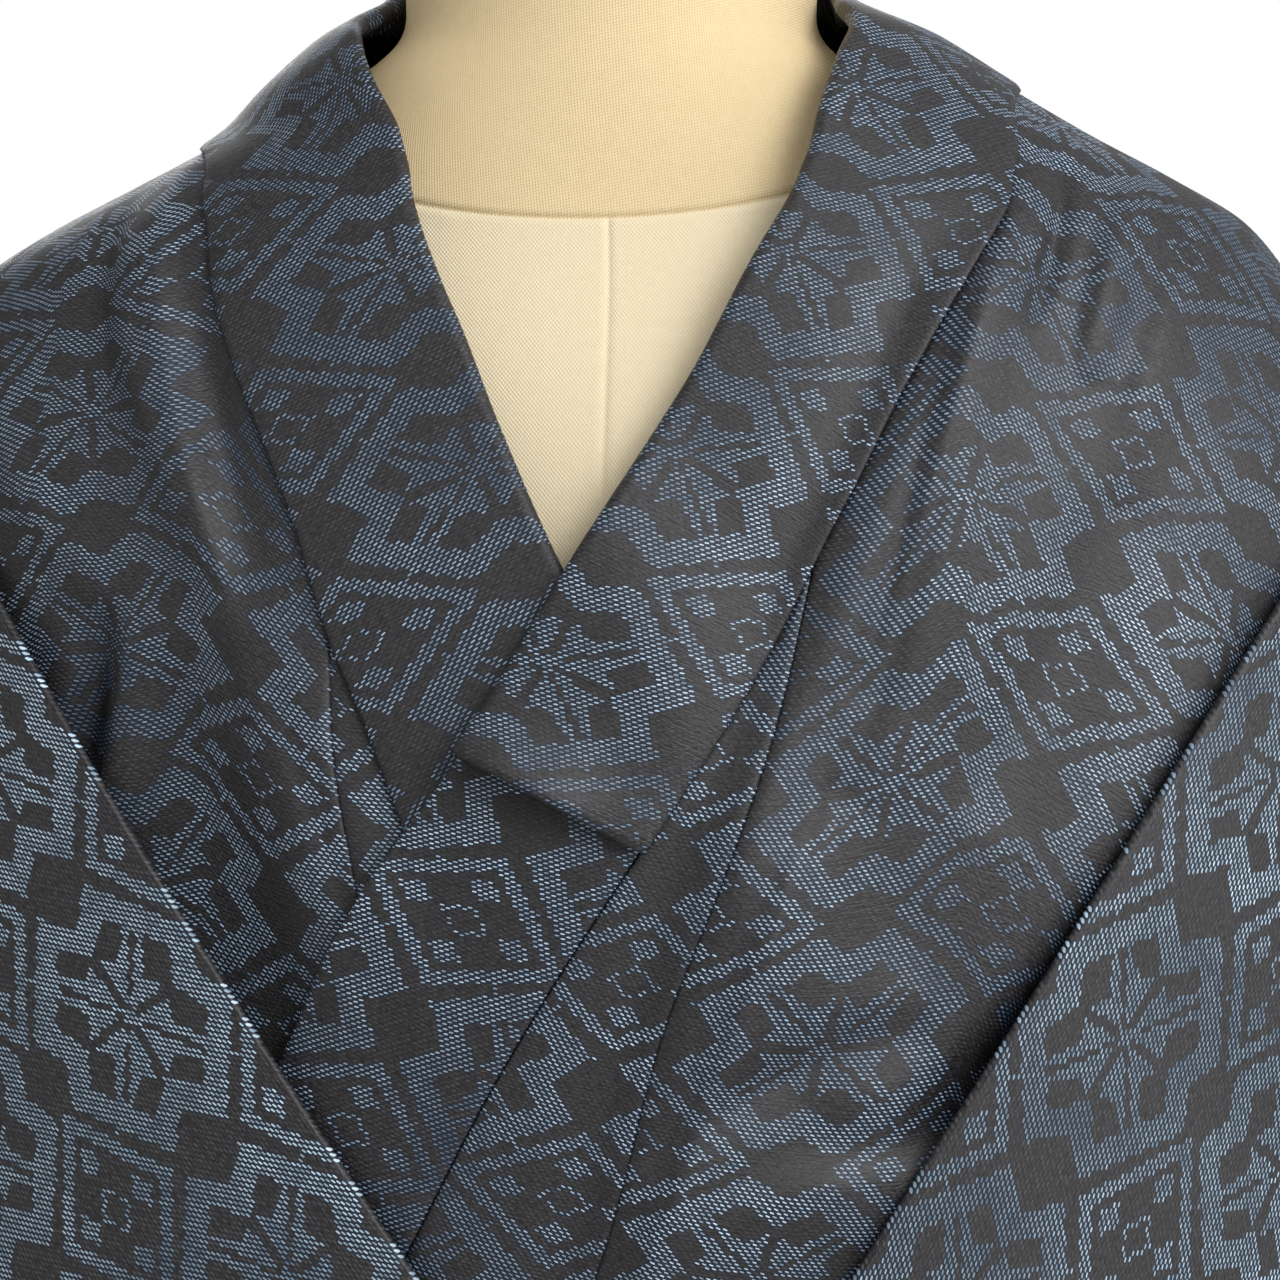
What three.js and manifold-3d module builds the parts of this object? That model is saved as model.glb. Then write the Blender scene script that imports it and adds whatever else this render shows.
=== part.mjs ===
// A kimono worn on a limbless dress form with a pole and a round base.
// Millimetres, +Z up, the front faces -Y, +X is the wearer's left.
// The origin is the middle of the base's underside.
//
// Every cloth piece lies on one draped surface round the form. A place on that surface is a turn, in
// degrees from the centre front towards one side (90 is the side, 180 the centre back), and a height.
// Heights in the tables are measured from the neck point, where the collar's edge passes the neck's side.
import * as THREE from 'three';
import Module from 'manifold-3d';
import { mergeVertices } from 'three/addons/utils/BufferGeometryUtils.js';

// ---------------------------------------------------------------- driving dimensions
const NECK_POINT = 1470;      // height of the neck point above the floor
const HEM = -1415;            // hem, below the neck point
const CLOTH = 1.8;            // thickness of a cloth wall
const SEAM_GAP = 0.5;         // distance between two pieces at a seam
const SLANT_GAP = 1;          // the same round the surface at the overlap, whose seam runs at a slant
const COLLAR_GAP = 1;         // the same at the collar, where the neck curves the seam both ways
// the left front lies this far over the right one: it starts to rise at a reach outside the inner
// collar's edge, is fully raised over the rise, and comes down again towards the neck and the centre back
const LAP = { lift: 6, reach: 60, rise: 50, neck: -95, neckRun: 50, backTurn: 180, backRun: 30 };
const COVER_LIFT = 2.5;       // collar cover over the collar
const COVER_END = -242;       // seam height where the collar cover ends
const COLLAR_END = -680;      // seam height where the collar ends

const SLEEVE_DEPTH = 490;     // from the top fold down to the bottom seam
const ARMHOLE_DEPTH = 230;    // the part of the depth that is sewn to the body, and the cuff opening
const ARMHOLE_WIDTH = 45;     // how far the two sides of the armhole stand apart
// degrees below level of the sleeve's run, at the fold and at the bottom, and how fast it turns
const SLEEVE_HANG = { from: 33, to: 84, rate: 1.15 };
const BAG = { seam: 3, middle: 16, mouth: 12 };  // distance between a sleeve's two layers
const SWING = 27;             // how far the sleeves hang away from the body
const SLEEVE_CLEAR = 6.5;     // how far a sleeve lies over the body at its armhole
const FOLD_CLEAR = 5;         // and how much more along its top fold

const BASE = { radius: 215, thick: 22, edge: 5 };
const POLE = { radius: 16 };
const SOCKET = { radius: 30, height: 46, neck: 20, shoulder: 18 };
const FORM_BOTTOM = -716;     // below the neck point
const CAP = { radius: 46, bottom: 81, thick: 14, lowEdge: 2.5, topEdge: 4 };

// ---------------------------------------------------------------- tables of the draped surface
// half-widths to the wearer's right and left, and half-depths to the front and back
const DRAPE = [
  { height: -1415, right: 214, left: 214, front: 138, back: 140 },
  { height: -1100, right: 208, left: 208, front: 132, back: 134 },
  { height: -800, right: 203, left: 203, front: 128, back: 128 },
  { height: -600, right: 200, left: 200, front: 126, back: 122 },
  { height: -430, right: 199, left: 200, front: 127, back: 113 },
  { height: -330, right: 204, left: 206, front: 130, back: 115 },
  { height: -260, right: 211, left: 213, front: 128, back: 118 },
  { height: -200, right: 218, left: 220, front: 121, back: 116 },
  { height: -150, right: 220, left: 222, front: 111, back: 110 },
  { height: -115, right: 214, left: 216, front: 101, back: 104 },
  { height: -95, right: 204, left: 207, front: 95, back: 99 },
  { height: -81, right: 189, left: 198, front: 90, back: 95 },
  { height: -68, right: 168, left: 187, front: 85, back: 91 },
  { height: -55, right: 142, left: 166, front: 80, back: 87 },
  { height: -42, right: 117, left: 142, front: 76, back: 83 },
  { height: -27, right: 102, left: 117, front: 71, back: 78 },
  { height: -15, right: 88, left: 98, front: 67, back: 73 },
  { height: 0, right: 66, left: 69, front: 64, back: 68 },
  { height: 20, right: 66, left: 68, front: 63, back: 66 },
  { height: 60, right: 66, left: 67, front: 62, back: 65 },
];
// the form's own half-widths
const FORM = [
  { height: -716, side: 150, front: 88, back: 90 },
  { height: -690, side: 172, front: 102, back: 104 },
  { height: -560, side: 180, front: 106, back: 106 },
  { height: -430, side: 172, front: 102, back: 90 },
  { height: -330, side: 184, front: 115, back: 99 },
  { height: -260, side: 194, front: 116, back: 104 },
  { height: -200, side: 201, front: 110, back: 103 },
  { height: -150, side: 202, front: 99, back: 97 },
  { height: -115, side: 196, front: 87, back: 91 },
  { height: -95, side: 185, front: 77, back: 86 },
  { height: -81, side: 170, front: 70, back: 81 },
  { height: -68, side: 150, front: 65, back: 76 },
  { height: -55, side: 125, front: 62, back: 72 },
  { height: -42, side: 100, front: 60, back: 69 },
  { height: -27, side: 81, front: 58, back: 65 },
  { height: -12, side: 67, front: 56, back: 61 },
  { height: 10, side: 61, front: 55, back: 58 },
  { height: 70, side: 59, front: 54, back: 56 },
  { height: 80, side: 55, front: 50, back: 52 },
];
// the collar on each side: where its seam runs, and where its free edge lies beside each seam place
const COLLAR = {
  left: [
    { seam: -680, seamTurn: -61, edge: -664, edgeTurn: -83 },
    { seam: -620, seamTurn: -53, edge: -597, edgeTurn: -75 },
    { seam: -560, seamTurn: -43.6, edge: -536, edgeTurn: -62.5 },
    { seam: -490, seamTurn: -32.7, edge: -465, edgeTurn: -50 },
    { seam: -420, seamTurn: -22.1, edge: -395, edgeTurn: -38 },
    { seam: -349, seamTurn: -11, edge: -322, edgeTurn: -24.5 },
    { seam: -308, seamTurn: -5, edge: -280, edgeTurn: -18 },
    { seam: -280, seamTurn: -0.5, edge: -252, edgeTurn: -13.4 },
    { seam: -242, seamTurn: 5.9, edge: -217, edgeTurn: -6.6 },
    { seam: -185, seamTurn: 15.1, edge: -159, edgeTurn: 2.3 },
    { seam: -150, seamTurn: 19.7, edge: -122, edgeTurn: 8.3 },
    { seam: -105, seamTurn: 27.2, edge: -77, edgeTurn: 16.2 },
    { seam: -63, seamTurn: 41, edge: -44, edgeTurn: 27.5 },
    { seam: -45, seamTurn: 54, edge: -23, edgeTurn: 41 },
    { seam: -34, seamTurn: 67, edge: -8, edgeTurn: 62 },
    { seam: -27, seamTurn: 90, edge: 1, edgeTurn: 88 },
    { seam: -20, seamTurn: 117, edge: 17, edgeTurn: 114 },
    { seam: -13, seamTurn: 142, edge: 31, edgeTurn: 141 },
    { seam: -12, seamTurn: 180, edge: 38, edgeTurn: 180 },
  ],
  right: [
    { seam: -680, seamTurn: -61, edge: -664, edgeTurn: -83 },
    { seam: -590, seamTurn: -49, edge: -566, edgeTurn: -67 },
    { seam: -515, seamTurn: -37, edge: -490, edgeTurn: -54 },
    { seam: -450, seamTurn: -25.3, edge: -425, edgeTurn: -42 },
    { seam: -380, seamTurn: -12.9, edge: -354, edgeTurn: -27.4 },
    { seam: -330, seamTurn: -4.2, edge: -304, edgeTurn: -17.6 },
    { seam: -285, seamTurn: 4.1, edge: -260, edgeTurn: -10.2 },
    { seam: -242, seamTurn: 10.4, edge: -217, edgeTurn: -4.7 },
    { seam: -208, seamTurn: 14.1, edge: -183, edgeTurn: -1.3 },
    { seam: -186, seamTurn: 16.8, edge: -160, edgeTurn: 1.8 },
    { seam: -151, seamTurn: 20.2, edge: -128, edgeTurn: 5.8 },
    { seam: -123, seamTurn: 24.3, edge: -98, edgeTurn: 9.8 },
    { seam: -79, seamTurn: 34.4, edge: -58, edgeTurn: 20 },
    { seam: -60, seamTurn: 46, edge: -35, edgeTurn: 33.7 },
    { seam: -48, seamTurn: 63, edge: -16, edgeTurn: 52 },
    { seam: -42, seamTurn: 90, edge: -1, edgeTurn: 88 },
    { seam: -30, seamTurn: 117, edge: 16, edgeTurn: 114 },
    { seam: -13, seamTurn: 142, edge: 31, edgeTurn: 141 },
    { seam: -12, seamTurn: 180, edge: 38, edgeTurn: 180 },
  ],
};
// the seam between a body panel and its overlap panel, up to the tip where it meets the collar
const OVERLAP_SEAM = {
  left: [
    { height: -1415, turn: -11.5 }, { height: -700, turn: -11.5 }, { height: -530, turn: -11 },
    { height: -460, turn: -7.3 }, { height: -400, turn: -1.5 }, { height: -342, turn: 4.2 },
    { height: -291, turn: 7.7 }, { height: -248, turn: 11.9 }, { height: -206, turn: 15.4 },
    { height: -165, turn: 17.7 },
  ],
  right: [
    { height: -1415, turn: -11.5 }, { height: -700, turn: -11.5 }, { height: -530, turn: -11 },
    { height: -460, turn: -7.3 }, { height: -400, turn: 0 }, { height: -340, turn: 8 },
    { height: -291, turn: 12.2 }, { height: -247, turn: 15.2 }, { height: -209, turn: 16.8 },
    { height: -183, turn: 17.1 },
  ],
};
// heights of the rows of each panel, from the hem to the back neckline
const SKIRT_ROWS = [-1415, -1290, -1160, -1030, -900, -780, -680, -600, -530, -460, -400, -349, -308, -280,
  -242, -222, -203, -183, -165, -145, -125, -105, -90];
const SHOULDER_ROWS = {
  left: [-76, -63, -53, -45, -38, -32, -27, -23, -19, -16, -13],
  right: [-79, -69, -60, -53, -47, -42, -35, -28, -22, -17, -13],
};
const BACK_NECK_STEPS = [-12.75, -12.5, -12.25, -12];
// the largest folds: soft runs from top to bottom, with a turn at each end; a minus depth is a trough
const FOLDS = [
  { side: 'left', top: -60, topTurn: 45, bottom: -350, bottomTurn: 5.5, width: 13, depth: 4 },
  { side: 'left', top: -66, topTurn: 38, bottom: -350, bottomTurn: 1.5, width: 11, depth: -2.5 },
  { side: 'right', top: -56, topTurn: 58, bottom: -262, bottomTurn: 13, width: 11, depth: 3 },
];
// flutes of the skirt: they open towards the hem
const FLUTES = [
  { side: 'left', turn: 62, width: 26, depth: 9 }, { side: 'left', turn: 97, width: 24, depth: -8 },
  { side: 'left', turn: 124, width: 22, depth: 10 }, { side: 'left', turn: 150, width: 20, depth: -7 },
  { side: 'right', turn: 55, width: 24, depth: -6 }, { side: 'right', turn: 84, width: 26, depth: 9 },
  { side: 'right', turn: 113, width: 22, depth: -8 }, { side: 'right', turn: 141, width: 24, depth: 9 },
  { side: 'left', turn: 20, width: 28, depth: 5 }, { side: 'right', turn: 20, width: 28, depth: -4 },
];
const FLUTE_TOP = -430;
const FOLD_WIDTH_FROM = -400;  // a fold keeps the width it has here on everything below
const FOLD_FADE = { start: 0.12, end: 1.25, run: 0.3 };  // shares of a fold's length
const FLUTE_GROWTH = 1.2;
const FLUTE_SHARPNESS = 0.6;
// the straight top fold of each sleeve, seen from the front: from the armhole to the cuff
const SLEEVE_FOLD = {
  left: { armhole: { across: 209, height: -156 }, cuff: { across: 33, height: -428 } },
  right: { armhole: { across: 180, height: -157 }, cuff: { across: -8, height: -418 } },
};

// ---------------------------------------------------------------- small mathematics
const rad = Math.PI / 180;
const SIDE_SIGN = { left: 1, right: -1 };

const smooth = (q) => {
  const t = Math.min(1, Math.max(0, q));
  return t * t * (3 - 2 * t);
};

// a curve through a table's rows that never overshoots them (monotone cubic)
function through(rows, key, value) {
  const x = rows.map((row) => row[key]);
  const y = rows.map((row) => row[value]);
  const step = x.slice(1).map((xi, i) => xi - x[i]);
  const slope = step.map((h, i) => (y[i + 1] - y[i]) / h);
  const tangent = x.map((_, i) => {
    if (i === 0) return slope[0];
    if (i === x.length - 1) return slope[i - 1];
    if (slope[i - 1] * slope[i] <= 0) return 0;
    const before = 2 * step[i] + step[i - 1];
    const after = step[i] + 2 * step[i - 1];
    return (before + after) / (before / slope[i - 1] + after / slope[i]);
  });
  return (at) => {
    const q = Math.min(x[x.length - 1], Math.max(x[0], at));
    let i = 0;
    while (i < step.length - 1 && q > x[i + 1]) i += 1;
    const t = (q - x[i]) / step[i];
    return (1 + 2 * t) * (1 - t) ** 2 * y[i] + t * (1 - t) ** 2 * step[i] * tangent[i]
      + t * t * (3 - 2 * t) * y[i + 1] + t * t * (t - 1) * step[i] * tangent[i + 1];
  };
}

const drape = {
  right: through(DRAPE, 'height', 'right'),
  left: through(DRAPE, 'height', 'left'),
  front: through(DRAPE, 'height', 'front'),
  back: through(DRAPE, 'height', 'back'),
};
const seamTurn = {
  left: through(COLLAR.left, 'seam', 'seamTurn'),
  right: through(COLLAR.right, 'seam', 'seamTurn'),
};
const overlapTurn = {
  left: through(OVERLAP_SEAM.left, 'height', 'turn'),
  right: through(OVERLAP_SEAM.right, 'height', 'turn'),
};
const innerEdgeTurn = through(COLLAR.right, 'edge', 'edgeTurn');
const tip = (side) => OVERLAP_SEAM[side][OVERLAP_SEAM[side].length - 1].height;

// a turn to one side as a signed turn, positive towards +X
const signed = (side, turn) => SIDE_SIGN[side] * turn;

// half-width and half-depth of the drape that hold at a signed turn
function halves(turn, height) {
  const wide = Math.sin(turn * rad) < 0 ? drape.right(height) : drape.left(height);
  const deep = Math.cos(turn * rad) > 0 ? drape.front(height) : drape.back(height);
  return [wide, deep];
}

// distance round the surface for one degree of turn
function perDegree(turn, height) {
  const [wide, deep] = halves(turn, height);
  return Math.hypot(wide * Math.cos(turn * rad), deep * Math.sin(turn * rad)) * rad;
}

// how far the folds and the flutes lift the cloth at a signed turn and a height
function lift(turn, height) {
  let out = 0;
  for (const fold of FOLDS) {
    const along = (fold.top - height) / (fold.top - fold.bottom);
    const swing = Math.sqrt(Math.max(0, along));
    const middle = signed(fold.side, fold.topTurn + (fold.bottomTurn - fold.topTurn) * swing);
    const away = (turn - middle) * perDegree(middle, Math.max(FOLD_WIDTH_FROM, height)) / fold.width;
    const fade = smooth(along / FOLD_FADE.start) * smooth((FOLD_FADE.end - along) / FOLD_FADE.run);
    out += fold.depth * Math.exp(-away * away) * fade;
  }
  const open = smooth((FLUTE_TOP - height) / (FLUTE_TOP - HEM)) ** FLUTE_GROWTH;
  for (const flute of FLUTES) {
    const away = (turn - signed(flute.side, flute.turn)) / (flute.width * FLUTE_SHARPNESS);
    out += flute.depth * open * Math.exp(-away * away);
  }
  return out;
}

// a point of the draped surface, moved out by a distance square to its level section
function onDrape(turn, height, out = 0) {
  const [wide, deep] = halves(turn, height);
  const c = Math.cos(turn * rad);
  const s = Math.sin(turn * rad);
  const normal = new THREE.Vector2(s / wide, -c / deep).normalize();
  const moved = out + lift(turn, height);
  return new THREE.Vector3(wide * s + normal.x * moved, -deep * c + normal.y * moved, NECK_POINT + height);
}

// the left front rises over the inner collar; turn is signed
function lapLift(turn, height) {
  const inner = -innerEdgeTurn(Math.max(height, COLLAR.right[0].edge));
  const beyond = (inner - turn) * perDegree(Math.min(turn, inner), height) + LAP.reach;
  return LAP.lift * smooth(beyond / LAP.rise) * smooth((LAP.neck - height) / LAP.neckRun)
    * smooth((LAP.backTurn - turn) / LAP.backRun);
}

// ---------------------------------------------------------------- solids from grids
// the outward direction at each point of a grid, from its neighbours
function directions(grid, closed) {
  const rows = grid.length;
  const cols = grid[0].length;
  return grid.map((row, i) => row.map((_, j) => {
    const up = grid[Math.min(rows - 1, i + 1)][j].clone().sub(grid[Math.max(0, i - 1)][j]);
    const next = closed ? (j + 1) % cols : Math.min(cols - 1, j + 1);
    const last = closed ? (j + cols - 1) % cols : Math.max(0, j - 1);
    return row[next].clone().sub(row[last]).cross(up).normalize();
  }));
}

function meshOf(points, faces) {
  let volume = 0;
  for (const [a, b, c] of faces) volume += points[a].dot(points[b].clone().cross(points[c]));
  const geometry = new THREE.BufferGeometry();
  const places = points.flatMap((p) => p.toArray());
  geometry.setAttribute('position', new THREE.Float32BufferAttribute(places, 3));
  geometry.setIndex(faces.flatMap(([a, b, c]) => (volume > 0 ? [a, b, c] : [a, c, b])));
  return geometry;
}

const square = (a, b, c, d) => [[a, b, c], [a, c, d]];

// a wall of even thickness about a grid of points; a closed wall joins its last column to its first
function wall(grid, closed = false, thick = CLOTH) {
  const rows = grid.length;
  const cols = grid[0].length;
  const out = directions(grid, closed);
  const sheet = (side) => grid.flatMap((row, i) => row
    .map((p, j) => p.clone().addScaledVector(out[i][j], side * thick / 2)));
  const points = [...sheet(1), ...sheet(-1)];
  const at = (i, j, inner) => (inner ? rows * cols : 0) + i * cols + (j % cols);
  const faces = [];
  const across = closed ? cols : cols - 1;
  for (let i = 0; i < rows - 1; i += 1) {
    for (let j = 0; j < across; j += 1) {
      faces.push(...square(at(i, j), at(i, j + 1), at(i + 1, j + 1), at(i + 1, j)));
      faces.push(...square(at(i, j, 1), at(i + 1, j, 1), at(i + 1, j + 1, 1), at(i, j + 1, 1)));
    }
  }
  for (let j = 0; j < across; j += 1) {
    faces.push(...square(at(0, j), at(0, j, 1), at(0, j + 1, 1), at(0, j + 1)));
    faces.push(...square(at(rows - 1, j), at(rows - 1, j + 1), at(rows - 1, j + 1, 1), at(rows - 1, j, 1)));
  }
  if (!closed) {
    for (let i = 0; i < rows - 1; i += 1) {
      faces.push(...square(at(i, 0), at(i + 1, 0), at(i + 1, 0, 1), at(i, 0, 1)));
      const last = cols - 1;
      faces.push(...square(at(i, last), at(i, last, 1), at(i + 1, last, 1), at(i + 1, last)));
    }
  }
  return meshOf(points, faces);
}

// a solid through level rings, closed at both ends
function loft(rings) {
  const cols = rings[0].length;
  const points = rings.flat();
  const faces = [];
  for (let i = 0; i < rings.length - 1; i += 1) {
    for (let j = 0; j < cols; j += 1) {
      const k = (j + 1) % cols;
      faces.push(...square(i * cols + j, i * cols + k, (i + 1) * cols + k, (i + 1) * cols + j));
    }
  }
  const last = (rings.length - 1) * cols;
  for (let j = 1; j < cols - 1; j += 1) {
    faces.push([0, j + 1, j]);
    faces.push([last, last + j, last + j + 1]);
  }
  return meshOf(points, faces);
}

const steps = (count) => Array.from({ length: count + 1 }, (_, i) => i / count);

// ---------------------------------------------------------------- body and overlap panels
const PANEL_COLUMNS = 14;
const OVERLAP_COLUMNS = 3;
const EVEN_PARTS = 60;
const OVERLAP_TIP_TRIM = 15;  // the overlap's last row stands this far below its tip

// turn of a body panel's front edge, trimmed for the seam
function frontEdge(side, height) {
  const turn = height > tip(side) ? seamTurn[side](height) : overlapTurn[side](height);
  return turn + SEAM_GAP / 2 / perDegree(signed(side, turn), height);
}

// turns from the centre back to the front edge, spaced evenly round the surface
function evenTurns(side, from, to, height, count) {
  const fine = steps(EVEN_PARTS).map((q) => from + (to - from) * q);
  const run = [0];
  for (let i = 1; i < fine.length; i += 1) {
    const middle = signed(side, (fine[i] + fine[i - 1]) / 2);
    run.push(run[i - 1] + Math.abs(fine[i] - fine[i - 1]) * perDegree(middle, height));
  }
  return steps(count).map((q) => {
    const want = q * run[run.length - 1];
    let i = 1;
    while (i < run.length - 1 && run[i] < want) i += 1;
    return fine[i - 1] + (fine[i] - fine[i - 1]) * (want - run[i - 1]) / (run[i] - run[i - 1]);
  });
}

function bodyPanel(side) {
  const rows = [...SKIRT_ROWS, ...SHOULDER_ROWS[side]];
  const backSeam = (height) => 180 - SEAM_GAP / 2 / perDegree(180, height);
  return wall(rows.map((height) => {
    const turns = evenTurns(side, backSeam(height), frontEdge(side, height), height, PANEL_COLUMNS);
    return turns.map((turn) => {
      const way = signed(side, turn);
      return onDrape(way, height, side === 'left' ? lapLift(way, height) : 0);
    });
  }));
}

function overlapPanel(side) {
  const rows = SKIRT_ROWS.filter((height) => height < tip(side) - OVERLAP_TIP_TRIM);
  const free = seamTurn[side](COLLAR_END);
  return wall(rows.map((height) => {
    const distance = perDegree(signed(side, free), height);
    const from = overlapTurn[side](height) - (SLANT_GAP - SEAM_GAP / 2) / distance;
    const to = (height > COLLAR_END ? seamTurn[side](height) : free) + SEAM_GAP / 2 / distance;
    return steps(OVERLAP_COLUMNS).map((q) => {
      const way = signed(side, from + (to - from) * q);
      return onDrape(way, height, side === 'left' ? lapLift(way, height) : 0);
    });
  }));
}

// ---------------------------------------------------------------- collar
const COLLAR_COLUMNS = 3;
const COLLAR_DEGREE = 3;  // distance for one degree of turn near the collar, close enough for a seam gap

// places of one side of the collar, from its end up to the centre back, as rows from seam to free edge
function collarSide(side, lowest) {
  const edgeHeight = through(COLLAR[side], 'seam', 'edge');
  const edgeTurn = through(COLLAR[side], 'seam', 'edgeTurn');
  const heights = [...SKIRT_ROWS, ...SHOULDER_ROWS[side], ...BACK_NECK_STEPS]
    .filter((height) => height >= lowest);
  return heights.map((seam) => {
    const away = (edgeTurn(seam) - seamTurn[side](seam)) * COLLAR_DEGREE;
    const first = COLLAR_GAP / Math.hypot(edgeHeight(seam) - seam, away);
    return steps(COLLAR_COLUMNS).map((q) => {
      const across = first + (1 - first) * q;
      const turn = signed(side, seamTurn[side](seam) + (edgeTurn(seam) - seamTurn[side](seam)) * across);
      const height = seam + (edgeHeight(seam) - seam) * across;
      return onDrape(turn, height, side === 'left' ? lapLift(turn, height) : 0);
    });
  });
}

const collarGrid = (lowest) => [
  ...collarSide('right', lowest),
  ...collarSide('left', lowest).slice(0, -1).reverse(),
];

// the cover is made from the collar's points, moved out
function collarCover() {
  const grid = collarGrid(COVER_END);
  const out = directions(grid, false);
  return wall(grid.map((row, i) => row.map((p, j) => p.clone().addScaledVector(out[i][j], COVER_LIFT))));
}

// ---------------------------------------------------------------- sleeves
const SLEEVE_STATIONS = 11;
const LAYER_STEPS = 13;
const HANG_PARTS = 40;
const WALK_PARTS = 24;

// run of the sleeve from its top fold: how far round and how far down, for a share of its depth
function hang(share) {
  const parts = HANG_PARTS;
  let round = 0;
  let down = 0;
  for (let i = 0; i < parts; i += 1) {
    const q = (i + 0.5) / parts * share;
    const bend = smooth(q * SLEEVE_HANG.rate);
    const slope = (SLEEVE_HANG.from + (SLEEVE_HANG.to - SLEEVE_HANG.from) * bend) * rad;
    round += Math.cos(slope) * share * SLEEVE_DEPTH / parts;
    down += Math.sin(slope) * share * SLEEVE_DEPTH / parts;
  }
  return [round, down];
}

// turn reached by walking a distance round the surface that lies out from the drape
function walk(side, turn, height, distance, out) {
  const parts = WALK_PARTS;
  let at = turn;
  for (let i = 0; i < parts; i += 1) {
    const [wide, deep] = halves(signed(side, at), height);
    const speed = Math.hypot((wide + out) * Math.cos(at * rad), (deep + out) * Math.sin(at * rad)) * rad;
    at += distance / parts / speed;
  }
  return at;
}

const armholeShare = ARMHOLE_DEPTH / SLEEVE_DEPTH;
// shares of a sleeve's length and depth over which it turns from one state to the next
const SLEEVE_RUN = {
  sewn: 0.35,
  sewnEnd: 0.3,
  rise: 0.25,
  swing: 0.6,
  mouth: 0.4,
  cuff: 0.25,
  cuffEnd: 0.08,
};
const BAG_FULLNESS = 0.8;
const WALK_TURN = 60;  // any turn on the same side
const armholeOpen = (share) => Math.sin(Math.PI * Math.min(1, share / armholeShare));

// a point of a sleeve: along runs from armhole to cuff, share from the top fold to the bottom seam
function sleevePoint(side, along, share, layer) {
  const { armhole, cuff } = SLEEVE_FOLD[side];
  const across = armhole.across + (cuff.across - armhole.across) * along;
  const top = armhole.height + (cuff.height - armhole.height) * along;
  const run = SLEEVE_RUN;
  const near = 1 - smooth(along / run.sewn);
  const sewn = near * (1 - smooth((share - armholeShare) / run.sewnEnd));
  const loose = 1 - sewn;
  const swung = SWING * smooth(share / run.swing) * loose;
  const out = SLEEVE_CLEAR + FOLD_CLEAR * smooth(along / run.rise) + swung;
  const bag = BAG.middle * Math.sin(Math.PI * share) ** BAG_FULLNESS * loose
    + BAG.mouth * smooth((along - 1 + run.mouth) / run.mouth) * armholeOpen(share);
  const cuffSewn = smooth((along - 1 + run.cuff) / run.cuff) * smooth((share - armholeShare) / run.cuffEnd);
  const gap = BAG.seam + bag * (1 - cuffSewn);
  const [round, down] = hang(share);
  const [wide] = halves(signed(side, across < 0 ? -WALK_TURN : WALK_TURN), top);
  const start = Math.asin(across / (wide + out)) / rad;
  const shift = layer < 0 ? ARMHOLE_WIDTH * armholeOpen(share) * near : 0;
  const turn = walk(side, start, top - down, round - shift, out);
  const away = layer < 0 ? out - BAG.seam / 2 : out - BAG.seam / 2 + gap;
  return onDrape(signed(side, turn), top - down, away);
}

function sleeve(side) {
  return wall(steps(SLEEVE_STATIONS).map((along) => {
    const outer = steps(LAYER_STEPS).map((share) => sleevePoint(side, along, share, 1));
    const inner = steps(LAYER_STEPS).map((share) => sleevePoint(side, along, 1 - share, -1));
    return [...outer, ...inner];
  }), true);
}

// ---------------------------------------------------------------- booleans
const wasm = await Module();
wasm.setup();

function toManifold(geometry) {
  const bare = new THREE.BufferGeometry();
  bare.setAttribute('position', geometry.getAttribute('position').clone());
  if (geometry.index) bare.setIndex(geometry.index.clone());
  const merged = mergeVertices(bare, 1e-4);
  return new wasm.Manifold(new wasm.Mesh({
    numProp: 3,
    vertProperties: Float32Array.from(merged.getAttribute('position').array),
    triVerts: Uint32Array.from(merged.index.array),
  }));
}

function fromManifold(solid) {
  const { vertProperties, triVerts } = solid.getMesh();
  const geometry = new THREE.BufferGeometry();
  geometry.setAttribute('position', new THREE.BufferAttribute(Float32Array.from(vertProperties), 3));
  geometry.setIndex(new THREE.BufferAttribute(Uint32Array.from(triVerts), 1));
  return geometry;
}

// a body panel with its armhole cut through the side
const HOLE = { inset: 0.08, narrow: 0.12, from: 120, to: 300, steps: 12 };

function panelWithArmhole(side) {
  const rings = steps(HOLE.steps).map((q) => {
    const share = armholeShare * (HOLE.inset + (1 - 2 * HOLE.inset) * q);
    const back = sleevePoint(side, 0, share, 1);
    const front = sleevePoint(side, 0, share, -1);
    const middle = back.clone().add(front).multiplyScalar(0.5);
    back.lerp(middle, HOLE.narrow);
    front.lerp(middle, HOLE.narrow);
    const near = SIDE_SIGN[side] * HOLE.from;
    const far = SIDE_SIGN[side] * HOLE.to;
    return [[near, back], [far, back], [far, front], [near, front]]
      .map(([x, rim]) => new THREE.Vector3(x, rim.y, rim.z));
  });
  return fromManifold(toManifold(bodyPanel(side)).subtract(toManifold(loft(rings))));
}

// ---------------------------------------------------------------- dress form and stand
const FORM_COLUMNS = 32;
const FORM_ROW = 50;  // rows of the table further apart than this get one more between them
const TURNED_COLUMNS = 32;
const BASE_COLUMNS = 48;

function formBody() {
  const side = through(FORM, 'height', 'side');
  const front = through(FORM, 'height', 'front');
  const back = through(FORM, 'height', 'back');
  const heights = FORM.flatMap((row, i) => (i && row.height - FORM[i - 1].height > FORM_ROW
    ? [(row.height + FORM[i - 1].height) / 2, row.height] : [row.height]));
  return loft(heights.map((height) => steps(FORM_COLUMNS).slice(0, -1).map((q) => {
    const c = Math.cos(q * 2 * Math.PI);
    const s = Math.sin(q * 2 * Math.PI);
    const deep = c > 0 ? front(height) : back(height);
    return new THREE.Vector3(side(height) * s, -deep * c, NECK_POINT + height);
  })));
}

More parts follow.
